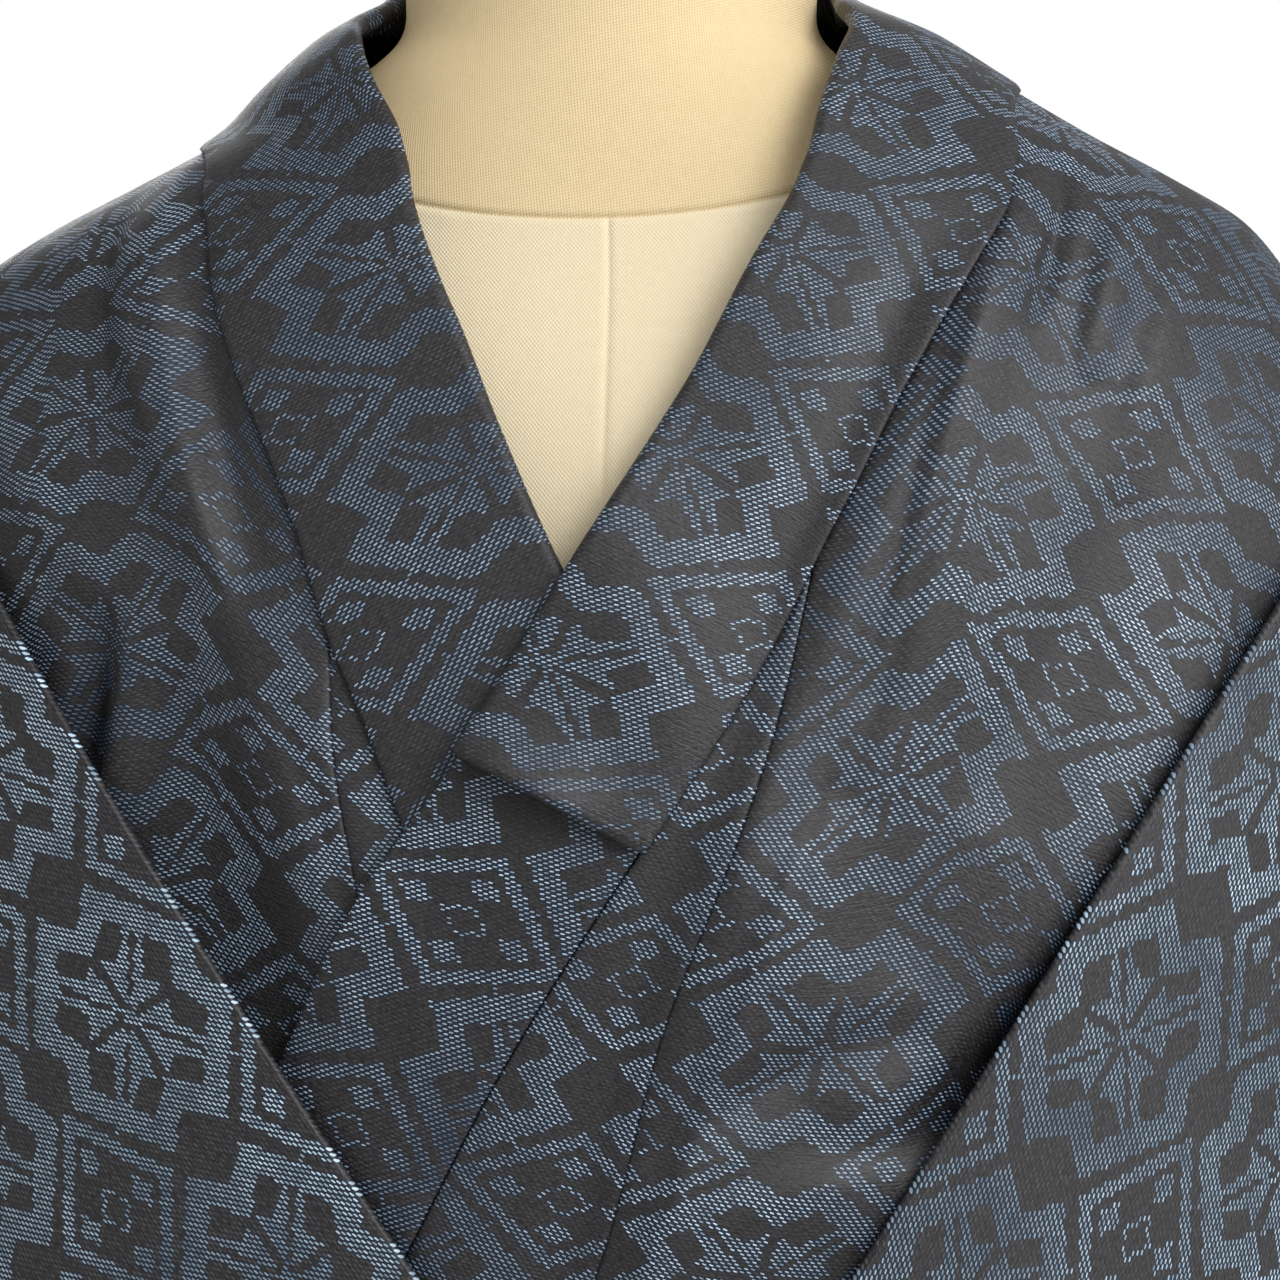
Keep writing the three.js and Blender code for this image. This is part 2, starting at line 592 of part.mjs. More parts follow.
// a turned piece from its half outline, as pairs of radius and height
function turned(outline, columns = TURNED_COLUMNS) {
  const geometry = new THREE.LatheGeometry(outline.map(([r, z]) => new THREE.Vector2(r, z)), columns);
  return geometry.rotateX(Math.PI / 2);
}

function standBase() {
  const { radius, thick, edge } = BASE;
  const outline = [[0, 0], [radius, 0], [radius, thick - edge], [radius - edge, thick], [0, thick]];
  return turned(outline, BASE_COLUMNS);
}

function standPole() {
  const bottom = BASE.thick + SEAM_GAP;
  const top = NECK_POINT + FORM_BOTTOM - SEAM_GAP;
  return turned([[0, bottom], [POLE.radius, bottom], [POLE.radius, top], [0, top]]);
}

function standSocket() {
  const bottom = BASE.thick + SEAM_GAP;
  const inner = POLE.radius + SEAM_GAP;
  const { radius, height, neck, shoulder } = SOCKET;
  return turned([[inner, bottom], [radius, bottom], [radius, bottom + shoulder], [neck, bottom + height],
    [inner, bottom + height], [inner, bottom]]);
}

function neckCap() {
  const { radius, bottom, thick, lowEdge, topEdge } = CAP;
  const low = NECK_POINT + bottom;
  const top = low + thick;
  return turned([[0, low], [radius - lowEdge, low], [radius, low + lowEdge], [radius, top - topEdge],
    [radius - topEdge, top], [0, top]]);
}

// ---------------------------------------------------------------- the object
const SILK = { color: 0x3a4452, roughness: 0.6, metalness: 0 };
const CANVAS = { color: 0xe8d7b0, roughness: 0.9, metalness: 0 };
const WOOD = { color: 0x9a6a3f, roughness: 0.55, metalness: 0 };
const STEEL = { color: 0x2b2b2d, roughness: 0.4, metalness: 0.6 };

const kimono = new THREE.Group();

function add(name, geometry, finish) {
  const mesh = new THREE.Mesh(geometry, new THREE.MeshStandardMaterial(finish));
  mesh.name = name;
  kimono.add(mesh);
}

add('body_left', panelWithArmhole('left'), SILK);
add('body_right', panelWithArmhole('right'), SILK);
add('overlap_left', overlapPanel('left'), SILK);
add('overlap_right', overlapPanel('right'), SILK);
add('collar', wall(collarGrid(COLLAR_END)), SILK);
add('collar_cover', collarCover(), SILK);
add('sleeve_left', sleeve('left'), SILK);
add('sleeve_right', sleeve('right'), SILK);
add('form_body', formBody(), CANVAS);
add('neck_cap', neckCap(), WOOD);
add('stand_pole', standPole(), STEEL);
add('stand_socket', standSocket(), STEEL);
add('stand_base', standBase(), STEEL);

export default kimono;
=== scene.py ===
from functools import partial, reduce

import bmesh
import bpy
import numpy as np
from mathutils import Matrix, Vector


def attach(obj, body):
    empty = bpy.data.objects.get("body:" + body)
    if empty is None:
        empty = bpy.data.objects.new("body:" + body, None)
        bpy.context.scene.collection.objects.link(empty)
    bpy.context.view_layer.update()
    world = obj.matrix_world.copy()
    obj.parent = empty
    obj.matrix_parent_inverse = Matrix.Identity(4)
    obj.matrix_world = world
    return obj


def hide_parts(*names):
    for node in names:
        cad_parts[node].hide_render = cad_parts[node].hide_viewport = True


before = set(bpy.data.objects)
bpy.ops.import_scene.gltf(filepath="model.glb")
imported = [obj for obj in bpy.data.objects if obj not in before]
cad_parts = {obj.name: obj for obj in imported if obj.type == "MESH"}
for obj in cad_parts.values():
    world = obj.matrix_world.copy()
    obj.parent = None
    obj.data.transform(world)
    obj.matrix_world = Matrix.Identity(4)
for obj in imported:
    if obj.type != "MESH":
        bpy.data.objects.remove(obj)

# %% [markdown]
# # A silk kimono on a dress form
# A kimono is sewn from straight strips of one narrow loom width. Worn on a form it wraps left over
# right, a stiff band collar crosses the chest, and the deep sleeves hang forward.
# This lesson builds the cloth as nets of points worked out with numpy, one net for each strip.

RADIAN = np.pi / 180
SIDE_SIGN = {"left": 1, "right": -1}
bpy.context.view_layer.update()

# %% [markdown]
# ## Curves through short tables
# The drape is described by a few rows of sizes. A monotone cubic runs through the rows and never
# overshoots them, so a widening skirt stays a widening skirt. A spline would be quicker to call, but it
# swings past close rows and leaves ripples in the cloth.


# %% Curves and smooth steps
def columns_of(names, rows):
    """A table as one array for each named column."""
    return dict(zip(names.split(), np.array(rows, float).T))


def curve(x, y):
    """Monotone cubic through points: each tangent is the weighted harmonic mean of its two slopes."""
    step = np.diff(x)
    slope = np.diff(y) / step
    before = 2 * step[1:] + step[:-1]
    after = step[1:] + 2 * step[:-1]
    same_way = slope[:-1] * slope[1:] > 0
    safe = np.where(same_way, slope[:-1], 1), np.where(same_way, slope[1:], 1)
    inner = np.where(same_way, (before + after) / (before / safe[0] + after / safe[1]), 0)
    tangent = np.concatenate([slope[:1], inner, slope[-1:]])

    def at(place):
        place = np.clip(place, x[0], x[-1])
        i = np.clip(np.searchsorted(x, place, side="right") - 1, 0, len(step) - 1)
        t = (place - x[i]) / step[i]
        ends = (1 + 2 * t) * (1 - t) ** 2 * y[i] + t * t * (3 - 2 * t) * y[i + 1]
        return ends + step[i] * t * (1 - t) * ((1 - t) * tangent[i] - t * tangent[i + 1])

    return at


def smooth(q):
    """An even step from 0 to 1: three times the square less twice the cube."""
    t = np.clip(q, 0, 1)
    return t * t * (3 - 2 * t)


def added_up(steps, axis=-1):
    """Running sum of steps, with a nought before the first."""
    return np.concatenate([np.zeros_like(np.take(steps, [0], axis)), np.cumsum(steps, axis)], axis)


print("half way up a smooth step:", smooth(0.5))

# %% [markdown]
# ## The draped surface
# All the cloth of the body lies on one surface. A level cut through it is made of two half ellipses,
# one for the front and one for the back, whose half-widths change with height. Heights are in
# millimetres from the neck point, where the collar passes the side of the neck, and a turn is an angle
# in degrees from the centre front towards the wearer's left. A cloth simulation could find such a
# surface too, but it would not keep the pressed, nearly flat fronts that a kimono is dressed to have.

# %% Sizes and the drape's rows
NECK_POINT = 1470
HEM = -1415
COLLAR_END = -680
COVER_END = -242
SEAM_GAP = 0.5
DRAPE = columns_of("height right left front back", [
    (-1415, 214, 214, 138, 140),
    (-1100, 208, 208, 132, 134),
    (-800, 203, 203, 128, 128),
    (-600, 200, 200, 126, 122),
    (-430, 199, 200, 127, 113),
    (-330, 204, 206, 130, 115),
    (-260, 211, 213, 128, 118),
    (-200, 218, 220, 121, 116),
    (-150, 220, 222, 111, 110),
    (-115, 214, 216, 101, 104),
    (-95, 204, 207, 95, 99),
    (-81, 189, 198, 90, 95),
    (-68, 168, 187, 85, 91),
    (-55, 142, 166, 80, 87),
    (-42, 117, 142, 76, 83),
    (-27, 102, 117, 71, 78),
    (-15, 88, 98, 67, 73),
    (0, 66, 69, 64, 68),
    (20, 66, 68, 63, 66),
    (60, 66, 67, 62, 65),
])
half = {name: curve(DRAPE["height"], DRAPE[name]) for name in ("right", "left", "front", "back")}


def halves(turn, height):
    """Half-width by the sign of the turn's sine, half-depth by the sign of its cosine."""
    wide = np.where(np.sin(turn * RADIAN) < 0, half["right"](height), half["left"](height))
    deep = np.where(np.cos(turn * RADIAN) > 0, half["front"](height), half["back"](height))
    return wide, deep


def per_degree(turn, height):
    """Distance round the level cut for one degree: the ellipse's speed times a degree."""
    wide, deep = halves(turn, height)
    return np.hypot(wide * np.cos(turn * RADIAN), deep * np.sin(turn * RADIAN)) * RADIAN


def round_from_front(turn, height, parts=48):
    """Distance round the level cut from the centre front: the sum of short steps, minus on the right."""
    turn, height = np.broadcast_arrays(np.asarray(turn, float), np.asarray(height, float))
    shares = (np.arange(parts) + 0.5) / parts
    return sum(per_degree(turn * q, height) for q in shares) * turn / parts


print("round one half at the chest:", round(float(round_from_front(180, -200))), "mm")

# %% [markdown]
# ## Folds of the worn cloth
# Three long soft folds run from the shoulders towards the sash line, and the loose skirt opens into
# flutes at the hem. Shorter creases are drawn on the same surface as strokes: a line of a few places, a
# width and a height on each side of it. A stroke with a narrow and a wide side gives the look of cloth
# lying over itself. They could be sculpted by hand, but as a table they stay easy to move.

# %% Long folds and flutes
LONG_FOLDS = columns_of("side top top_turn bottom bottom_turn width depth", [
    (1, -60, 45, -350, 5.5, 13, 4),
    (1, -66, 38, -350, 1.5, 11, -2.5),
    (-1, -56, 58, -262, 13, 11, 3),
])
FLUTES = columns_of("turn width depth", [
    (62, 24, 11),
    (97, 22, -10),
    (124, 20, 12),
    (150, 18, -10),
    (172, 14, 6),
    (-55, 22, -8),
    (-84, 24, 11),
    (-113, 20, -10),
    (-141, 22, 11),
    (-165, 14, -6),
    (20, 24, 6),
    (-20, 24, -5),
])
FLUTE_TOP = -430
FLUTE_NARROW = 0.6
FOLDS_EVEN = -400


def long_lift(turn, height):
    """Sum of the long folds and flutes: each a bell curve across, fading in and out along its length."""
    turn, height = turn[..., None], height[..., None]
    f = LONG_FOLDS
    along = (f["top"] - height) / (f["top"] - f["bottom"])
    swung = (f["bottom_turn"] - f["top_turn"]) * np.sqrt(np.clip(along, 0, None))
    middle = f["side"] * (f["top_turn"] + swung)
    away = (turn - middle) * per_degree(middle, np.maximum(height, FOLDS_EVEN)) / f["width"]
    folds = f["depth"] * np.exp(-away**2) * smooth(along / 0.12) * smooth((1.25 - along) / 0.3)
    opening = smooth((FLUTE_TOP - height) / (FLUTE_TOP - HEM)) ** 1.2
    beside = (turn - FLUTES["turn"]) / FLUTES["width"] / FLUTE_NARROW
    return folds.sum(-1) + (FLUTES["depth"] * opening * np.exp(-(beside**2))).sum(-1)


print("flute at the hem:", long_lift(np.array([62.0]), np.array([HEM]))[0].round(1), "mm")

# %% Creases drawn as strokes
# Each row: height, width of the two flanks, and places as (way round from the centre front, height).
STROKES = [
    (5.4, 22, 4, [(130, -54), (114, -88), (101, -135), (88, -186), (72, -225)]),
    (5, 20, 5, [(80, -200), (60, -256), (40, -310), (20, -370), (0, -430)]),
    (4.2, 10, 4, [(158, -60), (149, -84), (142, -116)]),
    (-4, 3, 5, [(139, -54), (135, -76), (126, -102)]),
    (3, 13, 6, [(180, -72), (164, -104), (152, -150)]),
    (-3.4, 16, 12, [(166, -120), (152, -156), (132, -200), (112, -236)]),
    (6, 12, 20, [(190, -176), (154, -236), (114, -284), (72, -316)]),
    (-6, 10, 12, [(164, -252), (120, -304), (78, -336)]),
    (-5.4, 7, 9, [(22, -326), (46, -308), (78, -294), (102, -290)]),
    (5.4, 8, 13, [(32, -352), (66, -332), (112, -328)]),
    (-2.6, 5, 6, [(108, -104), (97, -150), (84, -200), (64, -246)]),
    (4.6, 4, 16, [(-127, -40), (-124, -72), (-116, -108), (-103, -150), (-90, -192)]),
    (-3, 7, 7, [(-110, -66), (-106, -100), (-95, -140), (-82, -180)]),
    (4, 5, 15, [(-94, -176), (-80, -215), (-64, -256), (-48, -300)]),
    (-3.4, 8, 6, [(-148, -52), (-143, -90), (-134, -130)]),
    (-7, 6, 6, [(-135, -176), (-140, -204), (-152, -242)]),
    (3.6, 8, 5, [(-122, -178), (-127, -206), (-138, -246)]),
    (3.4, 8, 12, [(-180, -100), (-166, -136), (-146, -160), (-128, -176)]),
    (-6, 20, 22, [(-122, -190), (-108, -226), (-92, -262), (-72, -310)]),
    (3.4, 9, 14, [(-140, -250), (-116, -290), (-92, -322)]),
    (4.8, 10, 22, [(316, -220), (292, -340), (262, -460)]),
    (4.6, 20, 10, [(-322, -220), (-296, -330), (-262, -450)]),
    (4, 10, 20, [(420, -120), (404, -240), (372, -390)]),
    (-4, 14, 20, [(-430, -130), (-406, -260), (-372, -410)]),
    (-3, 10, 14, [(360, -90), (352, -150), (340, -230)]),
    (3.2, 14, 9, [(-370, -90), (-350, -170), (-330, -240)]),
    (5, 9, 26, [(70, -460), (60, -700), (82, -960), (76, -1330)]),
    (-4, 14, 18, [(112, -560), (104, -820), (120, -1120), (128, -1400)]),
    (-4.4, 16, 22, [(-60, -480), (-74, -760), (-62, -1120)]),
    (5, 24, 10, [(-110, -520), (-96, -820), (-118, -1180), (-112, -1400)]),
    (5, 12, 24, [(170, -400), (178, -640), (160, -940)]),
    (5, 24, 12, [(-180, -410), (-168, -660), (-190, -960)]),
    (5, 12, 24, [(300, -620), (318, -860), (296, -1200)]),
    (-5, 20, 16, [(-310, -560), (-292, -840), (-318, -1150)]),
    (-4.6, 16, 20, [(430, -480), (420, -760), (446, -1100), (438, -1380)]),
    (4.8, 22, 14, [(-420, -500), (-440, -800), (-418, -1180)]),
]
STROKE_STEPS = 24
STROKE_FADE = 0.7


def stroke_lift(across, height, strokes):
    """Sum of the strokes: a bell curve of the distance to the nearest place of the stroke, with its own
    width on either flank, fading at both ends by a half sine."""
    place = np.stack([across, height], -1)
    out = np.zeros(across.shape)
    for rise, near, far, path in strokes:
        path = np.array(path, float)
        run = added_up(np.hypot(*np.diff(path, axis=0).T))
        fine = np.linspace(0, run[-1], STROKE_STEPS)
        line = np.stack([curve(run, path[:, 0])(fine), curve(run, path[:, 1])(fine)], -1)
        start, way = line[:-1], np.diff(line, axis=0)
        rel = place[..., None, :] - start
        t = np.clip((rel * way).sum(-1) / (way**2).sum(-1), 0, 1)
        gap = rel - t[..., None] * way
        distance = np.sqrt((gap**2).sum(-1))
        flank = gap[..., 0] * way[:, 1] - gap[..., 1] * way[:, 0]
        nearest = distance.argmin(-1)[..., None]
        t, distance, flank = (np.take_along_axis(v, nearest, -1)[..., 0] for v in (t, distance, flank))
        share = (t + nearest[..., 0]) / len(way)
        width = np.where(flank < 0, near, far)
        out += rise * np.exp(-((distance / width) ** 2)) * np.sin(np.pi * share) ** STROKE_FADE
    return out


print(len(STROKES), "strokes on the body")

# %% [markdown]
# ## The lap and the places of the surface
# The left front lies over the right front and its collar, so it stands a few millimetres further out
# from where it passes the inner collar. That rise is part of the surface function, which keeps the two
# layers apart everywhere without a collision solver.

# %% Collar tables and the surface function
COLLAR = {
    "left": columns_of("seam seam_turn edge edge_turn", [
        (-680, -61, -664, -83),
        (-620, -53, -597, -75),
        (-560, -43.6, -536, -62.5),
        (-490, -32.7, -465, -50),
        (-420, -22.1, -395, -38),
        (-349, -11, -322, -24.5),
        (-308, -5, -280, -18),
        (-280, -0.5, -252, -13.4),
        (-242, 5.9, -217, -6.6),
        (-185, 15.1, -159, 2.3),
        (-150, 19.7, -122, 8.3),
        (-105, 27.2, -77, 16.2),
        (-63, 41, -44, 27.5),
        (-45, 54, -23, 41),
        (-34, 67, -8, 62),
        (-27, 90, 1, 88),
        (-20, 117, 17, 114),
        (-13, 142, 31, 141),
        (-12, 180, 38, 180),
    ]),
    "right": columns_of("seam seam_turn edge edge_turn", [
        (-680, -61, -664, -83),
        (-590, -49, -566, -67),
        (-515, -37, -490, -54),
        (-450, -25.3, -425, -42),
        (-380, -12.9, -354, -27.4),
        (-330, -4.2, -304, -17.6),
        (-285, 4.1, -260, -10.2),
        (-242, 10.4, -217, -4.7),
        (-208, 14.1, -183, -1.3),
        (-186, 16.8, -160, 1.8),
        (-151, 20.2, -128, 5.8),
        (-123, 24.3, -98, 9.8),
        (-79, 34.4, -58, 20),
        (-60, 46, -35, 33.7),
        (-48, 63, -16, 52),
        (-42, 90, -1, 88),
        (-30, 117, 16, 114),
        (-13, 142, 31, 141),
        (-12, 180, 38, 180),
    ]),
}
OVERLAP_SEAM = {
    "left": columns_of("height turn", [
        (-1415, -11.5),
        (-700, -11.5),
        (-530, -11),
        (-460, -7.3),
        (-400, -1.5),
        (-342, 4.2),
        (-291, 7.7),
        (-248, 11.9),
        (-206, 15.4),
        (-165, 17.7),
    ]),
    "right": columns_of("height turn", [
        (-1415, -11.5),
        (-700, -11.5),
        (-530, -11),
        (-460, -7.3),
        (-400, 0),
        (-340, 8),
        (-291, 12.2),
        (-247, 15.2),
        (-209, 16.8),
        (-183, 17.1),
    ]),
}
LAP = {"lift": 6, "reach": 60, "rise": 50, "neck": -95, "neck_run": 50, "back": 180, "back_run": 30}
seam_turn = {side: curve(COLLAR[side]["seam"], COLLAR[side]["seam_turn"]) for side in COLLAR}
overlap_turn = {side: curve(OVERLAP_SEAM[side]["height"], OVERLAP_SEAM[side]["turn"]) for side in COLLAR}
inner_edge = curve(COLLAR["right"]["edge"], COLLAR["right"]["edge_turn"])


def lap_lift(turn, height):
    """Rise of the left front: a smooth step of the distance past the inner collar's edge, fading towards
    the neck and towards the centre back."""
    inner = -inner_edge(np.maximum(height, COLLAR["right"]["edge"][0]))
    beyond = (inner - turn) * per_degree(np.minimum(turn, inner), height) + LAP["reach"]
    rise = LAP["lift"] * smooth(beyond / LAP["rise"])
    below_neck = smooth((LAP["neck"] - height) / LAP["neck_run"])
    before_back = smooth((LAP["back"] - turn) / LAP["back_run"])
    return rise * below_neck * before_back


def on_drape(turn, height, out=0.0, lifted=True, creases=0.0):
    """Ellipse point (wide sine, minus deep cosine, height), moved out along its level normal by the
    folds, the creases and any distance asked for."""
    turn, height = np.broadcast_arrays(np.asarray(turn, float), np.asarray(height, float))
    wide, deep = halves(turn, height)
    s, c = np.sin(turn * RADIAN), np.cos(turn * RADIAN)
    length = np.hypot(s / wide, c / deep)
    moved = out + (long_lift(turn, height) if lifted else 0) + creases
    x = wide * s + s / wide / length * moved
    y = -deep * c - c / deep / length * moved
    return np.stack([x, y, NECK_POINT + height], -1)


print("the V of the neck is at", on_drape(np.array([0.5]), np.array([-173.0]))[0].round(1))

# %% [markdown]
# ## From a net of points to a piece of cloth
# Each piece is a net of points with a second net beside it that holds its cloth coordinates: metres
# along the weft and along the warp on the flat cloth. The woven figure reads those, so it follows every
# fold. A Solidify modifier gives the net its thickness, which is easier to keep even than a hand-made
# second side.


# %% Nets, cloth coordinates and thickness
def net_faces(rows, columns, closed):
    """Squares of a net: each point, the next one along, and the same two one row up."""
    across = columns if closed else columns - 1
    i, j = np.meshgrid(np.arange(rows - 1), np.arange(across), indexing="ij")
    k = (j + 1) % columns
    corners = [i * columns + j, i * columns + k, (i + 1) * columns + k, (i + 1) * columns + j]
    return np.stack(corners, -1).reshape(-1, 4)


def net_piece(name, points, cloth, finish, closed=False, thick=0.0, caps=False):
    """A mesh from a net in millimetres. cloth holds the flat coordinates in metres, with one more column
    than a closed net has, so that the figure runs on past the join."""
    rows, columns = points.shape[:2]
    faces = net_faces(rows, columns, closed)
    corners = net_faces(rows, cloth.shape[1], False)
    places = cloth.reshape(-1, 2)[corners.ravel()]
    face_list = faces.tolist()
    if caps:
        face_list.append(list(range(columns))[::-1])
        face_list.append([(rows - 1) * columns + j for j in range(columns)])
        places = np.concatenate([places, np.zeros((2 * columns, 2))])
    mesh = bpy.data.meshes.new(name)
    mesh.from_pydata((points.reshape(-1, 3) / 1000).tolist(), [], face_list)
    mesh.uv_layers.new(name="cloth").data.foreach_set("uv", places.astype(np.float32).ravel())
    mesh.shade_smooth()
    if caps:
        for face in mesh.polygons[-2:]:
            face.use_smooth = False
    piece = bpy.data.objects.new(name, mesh)
    bpy.context.scene.collection.objects.link(piece)
    mesh.materials.append(finish)
    if thick:
        wall = piece.modifiers.new("thickness", "SOLIDIFY")
        wall.thickness = thick / 1000
        wall.offset = 0
    print(name, rows, "x", columns, "points")
    return piece


def normals_of(points):
    """Outward directions of a net: the cross product of its steps along a row and up a column."""
    along = np.gradient(points, axis=1)
    up = np.gradient(points, axis=0)
    normal = np.cross(along, up)
    return normal / np.linalg.norm(normal, axis=-1, keepdims=True)


# %% [markdown]
# ## Figured silk
# The cloth is a satin of near-black warp threads. A figure is woven into it by short floats of a
# steel-blue weft, each about a millimetre and a half long, staggered from pick to pick. The figure is a
# traditional all-over lattice: large notched frames that hold an eight-leaved flower, and thin lozenges
# with four dots in the gaps. A painted picture could carry it, but would blur close by. So it is charted
# with straight lines in one quarter of the repeat, and the floats are switched on or off one by one,
# which gives the stepped edges of real weaving. The sleeves get a lit copy of the silk and the body a
# shaded one: the sleeves' floats are painted brighter and drawn a little fuller, which is painted light.


# %% A short way to write a shader
def feed(socket, value):
    """Fills a socket with a number, a vector or a colour, or links it to another node's output."""
    if isinstance(value, bpy.types.NodeSocket):
        socket.id_data.links.new(value, socket)
    else:
        socket.default_value = value


def new_node(tree, kind, **settings):
    """A shader node of a kind, with its settings by name."""
    made = tree.nodes.new("ShaderNode" + kind)
    for name, value in settings.items():
        setattr(made, name, value)
    return made


def arithmetic(tree):
    """A function that adds one Math node, fed with sockets or numbers, and gives back its output."""
    def node(kind, *values, clamp=False):
        made = new_node(tree, "Math", operation=kind, use_clamp=clamp)
        for socket, value in zip(made.inputs, values):
            feed(socket, value)
        return made.outputs[0]

    return node


def group_tree(name, inputs, outputs):
    """An empty node group with number sockets, and its input and output nodes."""
    tree = bpy.data.node_groups.new(name, "ShaderNodeTree")
    for labels, way in ((inputs, "INPUT"), (outputs, "OUTPUT")):
        for label in labels:
            tree.interface.new_socket(label, in_out=way, socket_type="NodeSocketFloat")
    return tree, tree.nodes.new("NodeGroupInput"), tree.nodes.new("NodeGroupOutput")


# %% Lines, rays and notches
def line_side(m, a, b, slope_a, slope_b, reach):
    """Signed distance past a straight line: slope_a times a plus slope_b times b, less the reach."""
    return m("MULTIPLY_ADD", a, slope_a, m("MULTIPLY_ADD", b, slope_b, -reach))


def notched_end(m, along, across, reach, notch, slope):
    """How far a leaf's end is away: its reach grows by a slope on either side of a notch."""
    beside = m("ABSOLUTE", m("SUBTRACT", across, notch))
    return m("SUBTRACT", m("MULTIPLY_ADD", beside, slope, reach), along)


def highest(m, *values):
    """The largest of several values."""
    return reduce(partial(m, "MAXIMUM"), values)


def lowest(m, *values):
    """The smallest of several values."""
    return reduce(partial(m, "MINIMUM"), values)


# %% The lattice figure, charted in one quarter of its repeat
REPEAT = (84, 65)
FRAME_SIDES = [(0.591, 0.807, 30.2), (0.707, -0.707, 20.8), (-0.45, 0.893, 21.6), (0, 1, 28.8)]
FRAME_HALF = 3.6
LOZENGE = {"slope": 0.645, "reach": 20.5, "half": 2.2}
DOTS = {"slope": 0.62, "side": 15.5, "top": 9.8, "size": 3.5, "ring": 4.3, "ring_half": 0.75}


def notched_frame(m, a, b):
    """1 on a band seven millimetres wide inside a hexagon whose corners are notched."""
    outline = highest(m, *(line_side(m, a, b, *side) for side in FRAME_SIDES))
    return m("COMPARE", outline, -FRAME_HALF, FRAME_HALF)


def flower(m, a, b):
    """1 on a small centre and two forked leaves in the quarter, each between two rays and a notch."""
    low_leaf = lowest(
        m,
        line_side(m, a, b, -0.06, 1, 0.6),
        line_side(m, a, b, 0.68, -1, 0.2),
        notched_end(m, a, b, 15.4, 5.5, 0.9),
    )
    high_leaf = lowest(
        m,
        line_side(m, a, b, -0.78, 1, 0.5),
        line_side(m, a, b, 1, -0.03, 1.1),
        notched_end(m, b, a, 10.4, 7, 0.6),
    )
    heart = line_side(m, a, b, -0.8, -1, -2.6)
    return m("GREATER_THAN", highest(m, low_leaf, high_leaf, heart), 0)


def thin_lozenge(m, a, b):
    """1 on a thin lozenge, four dots and a small ring, all round the corner of the quarter."""
    outline = line_side(m, a, b, LOZENGE["slope"], 1, LOZENGE["reach"])
    band = m("COMPARE", outline, -LOZENGE["half"], LOZENGE["half"])
    side_dot = m("ADD", m("MULTIPLY", m("ABSOLUTE", m("SUBTRACT", a, DOTS["side"])), DOTS["slope"]), b)
    top_dot = m("ADD", m("MULTIPLY", a, DOTS["slope"]), m("ABSOLUTE", m("SUBTRACT", b, DOTS["top"])))
    dots = m("LESS_THAN", lowest(m, side_dot, top_dot), DOTS["size"])
    ring = m("COMPARE", line_side(m, a, b, DOTS["slope"], 1, DOTS["ring"]), 0, DOTS["ring_half"])
    return highest(m, band, dots, ring)


def lattice_group():
    """Group: weft and warp place in millimetres in, 1 on the figure out. A ping-pong folds the repeat
    into a quarter, and the lozenges are charted from the opposite corner of that quarter."""
    tree, given, result = group_tree("lattice figure", ["Weft", "Warp"], ["Figure"])
    m = arithmetic(tree)
    a = m("PINGPONG", given.outputs["Weft"], REPEAT[0] / 2)
    b = m("PINGPONG", given.outputs["Warp"], REPEAT[1] / 2)
    far_a = m("SUBTRACT", REPEAT[0] / 2, a)
    far_b = m("SUBTRACT", REPEAT[1] / 2, b)
    figure = highest(m, notched_frame(m, a, b), flower(m, a, b), thin_lozenge(m, far_a, far_b))
    feed(result.inputs["Figure"], figure)
    return tree


LATTICE = lattice_group()
print("figure charted with", len(LATTICE.nodes), "nodes")

# %% The floats of the weft
# Lengths in millimetres. The half sizes are shares of the pitch and of the pick.
PICK = 1.08
FLOAT_PITCH = 1.85
FLOAT_STEP = 0.45
FLOAT_SLANT = -0.5
# The sleeve's floats are drawn fuller than the body's, so more of each float shows as lit: painted
# sheen.
FLOAT_HALF = {"body": (0.34, 0.22), "sleeve": (0.4, 0.25)}
FLOAT_EDGE = {"reach": 1.2, "steep": 1.6}
FLOAT_SHADE = {"range": 0.75, "least": 0.4}


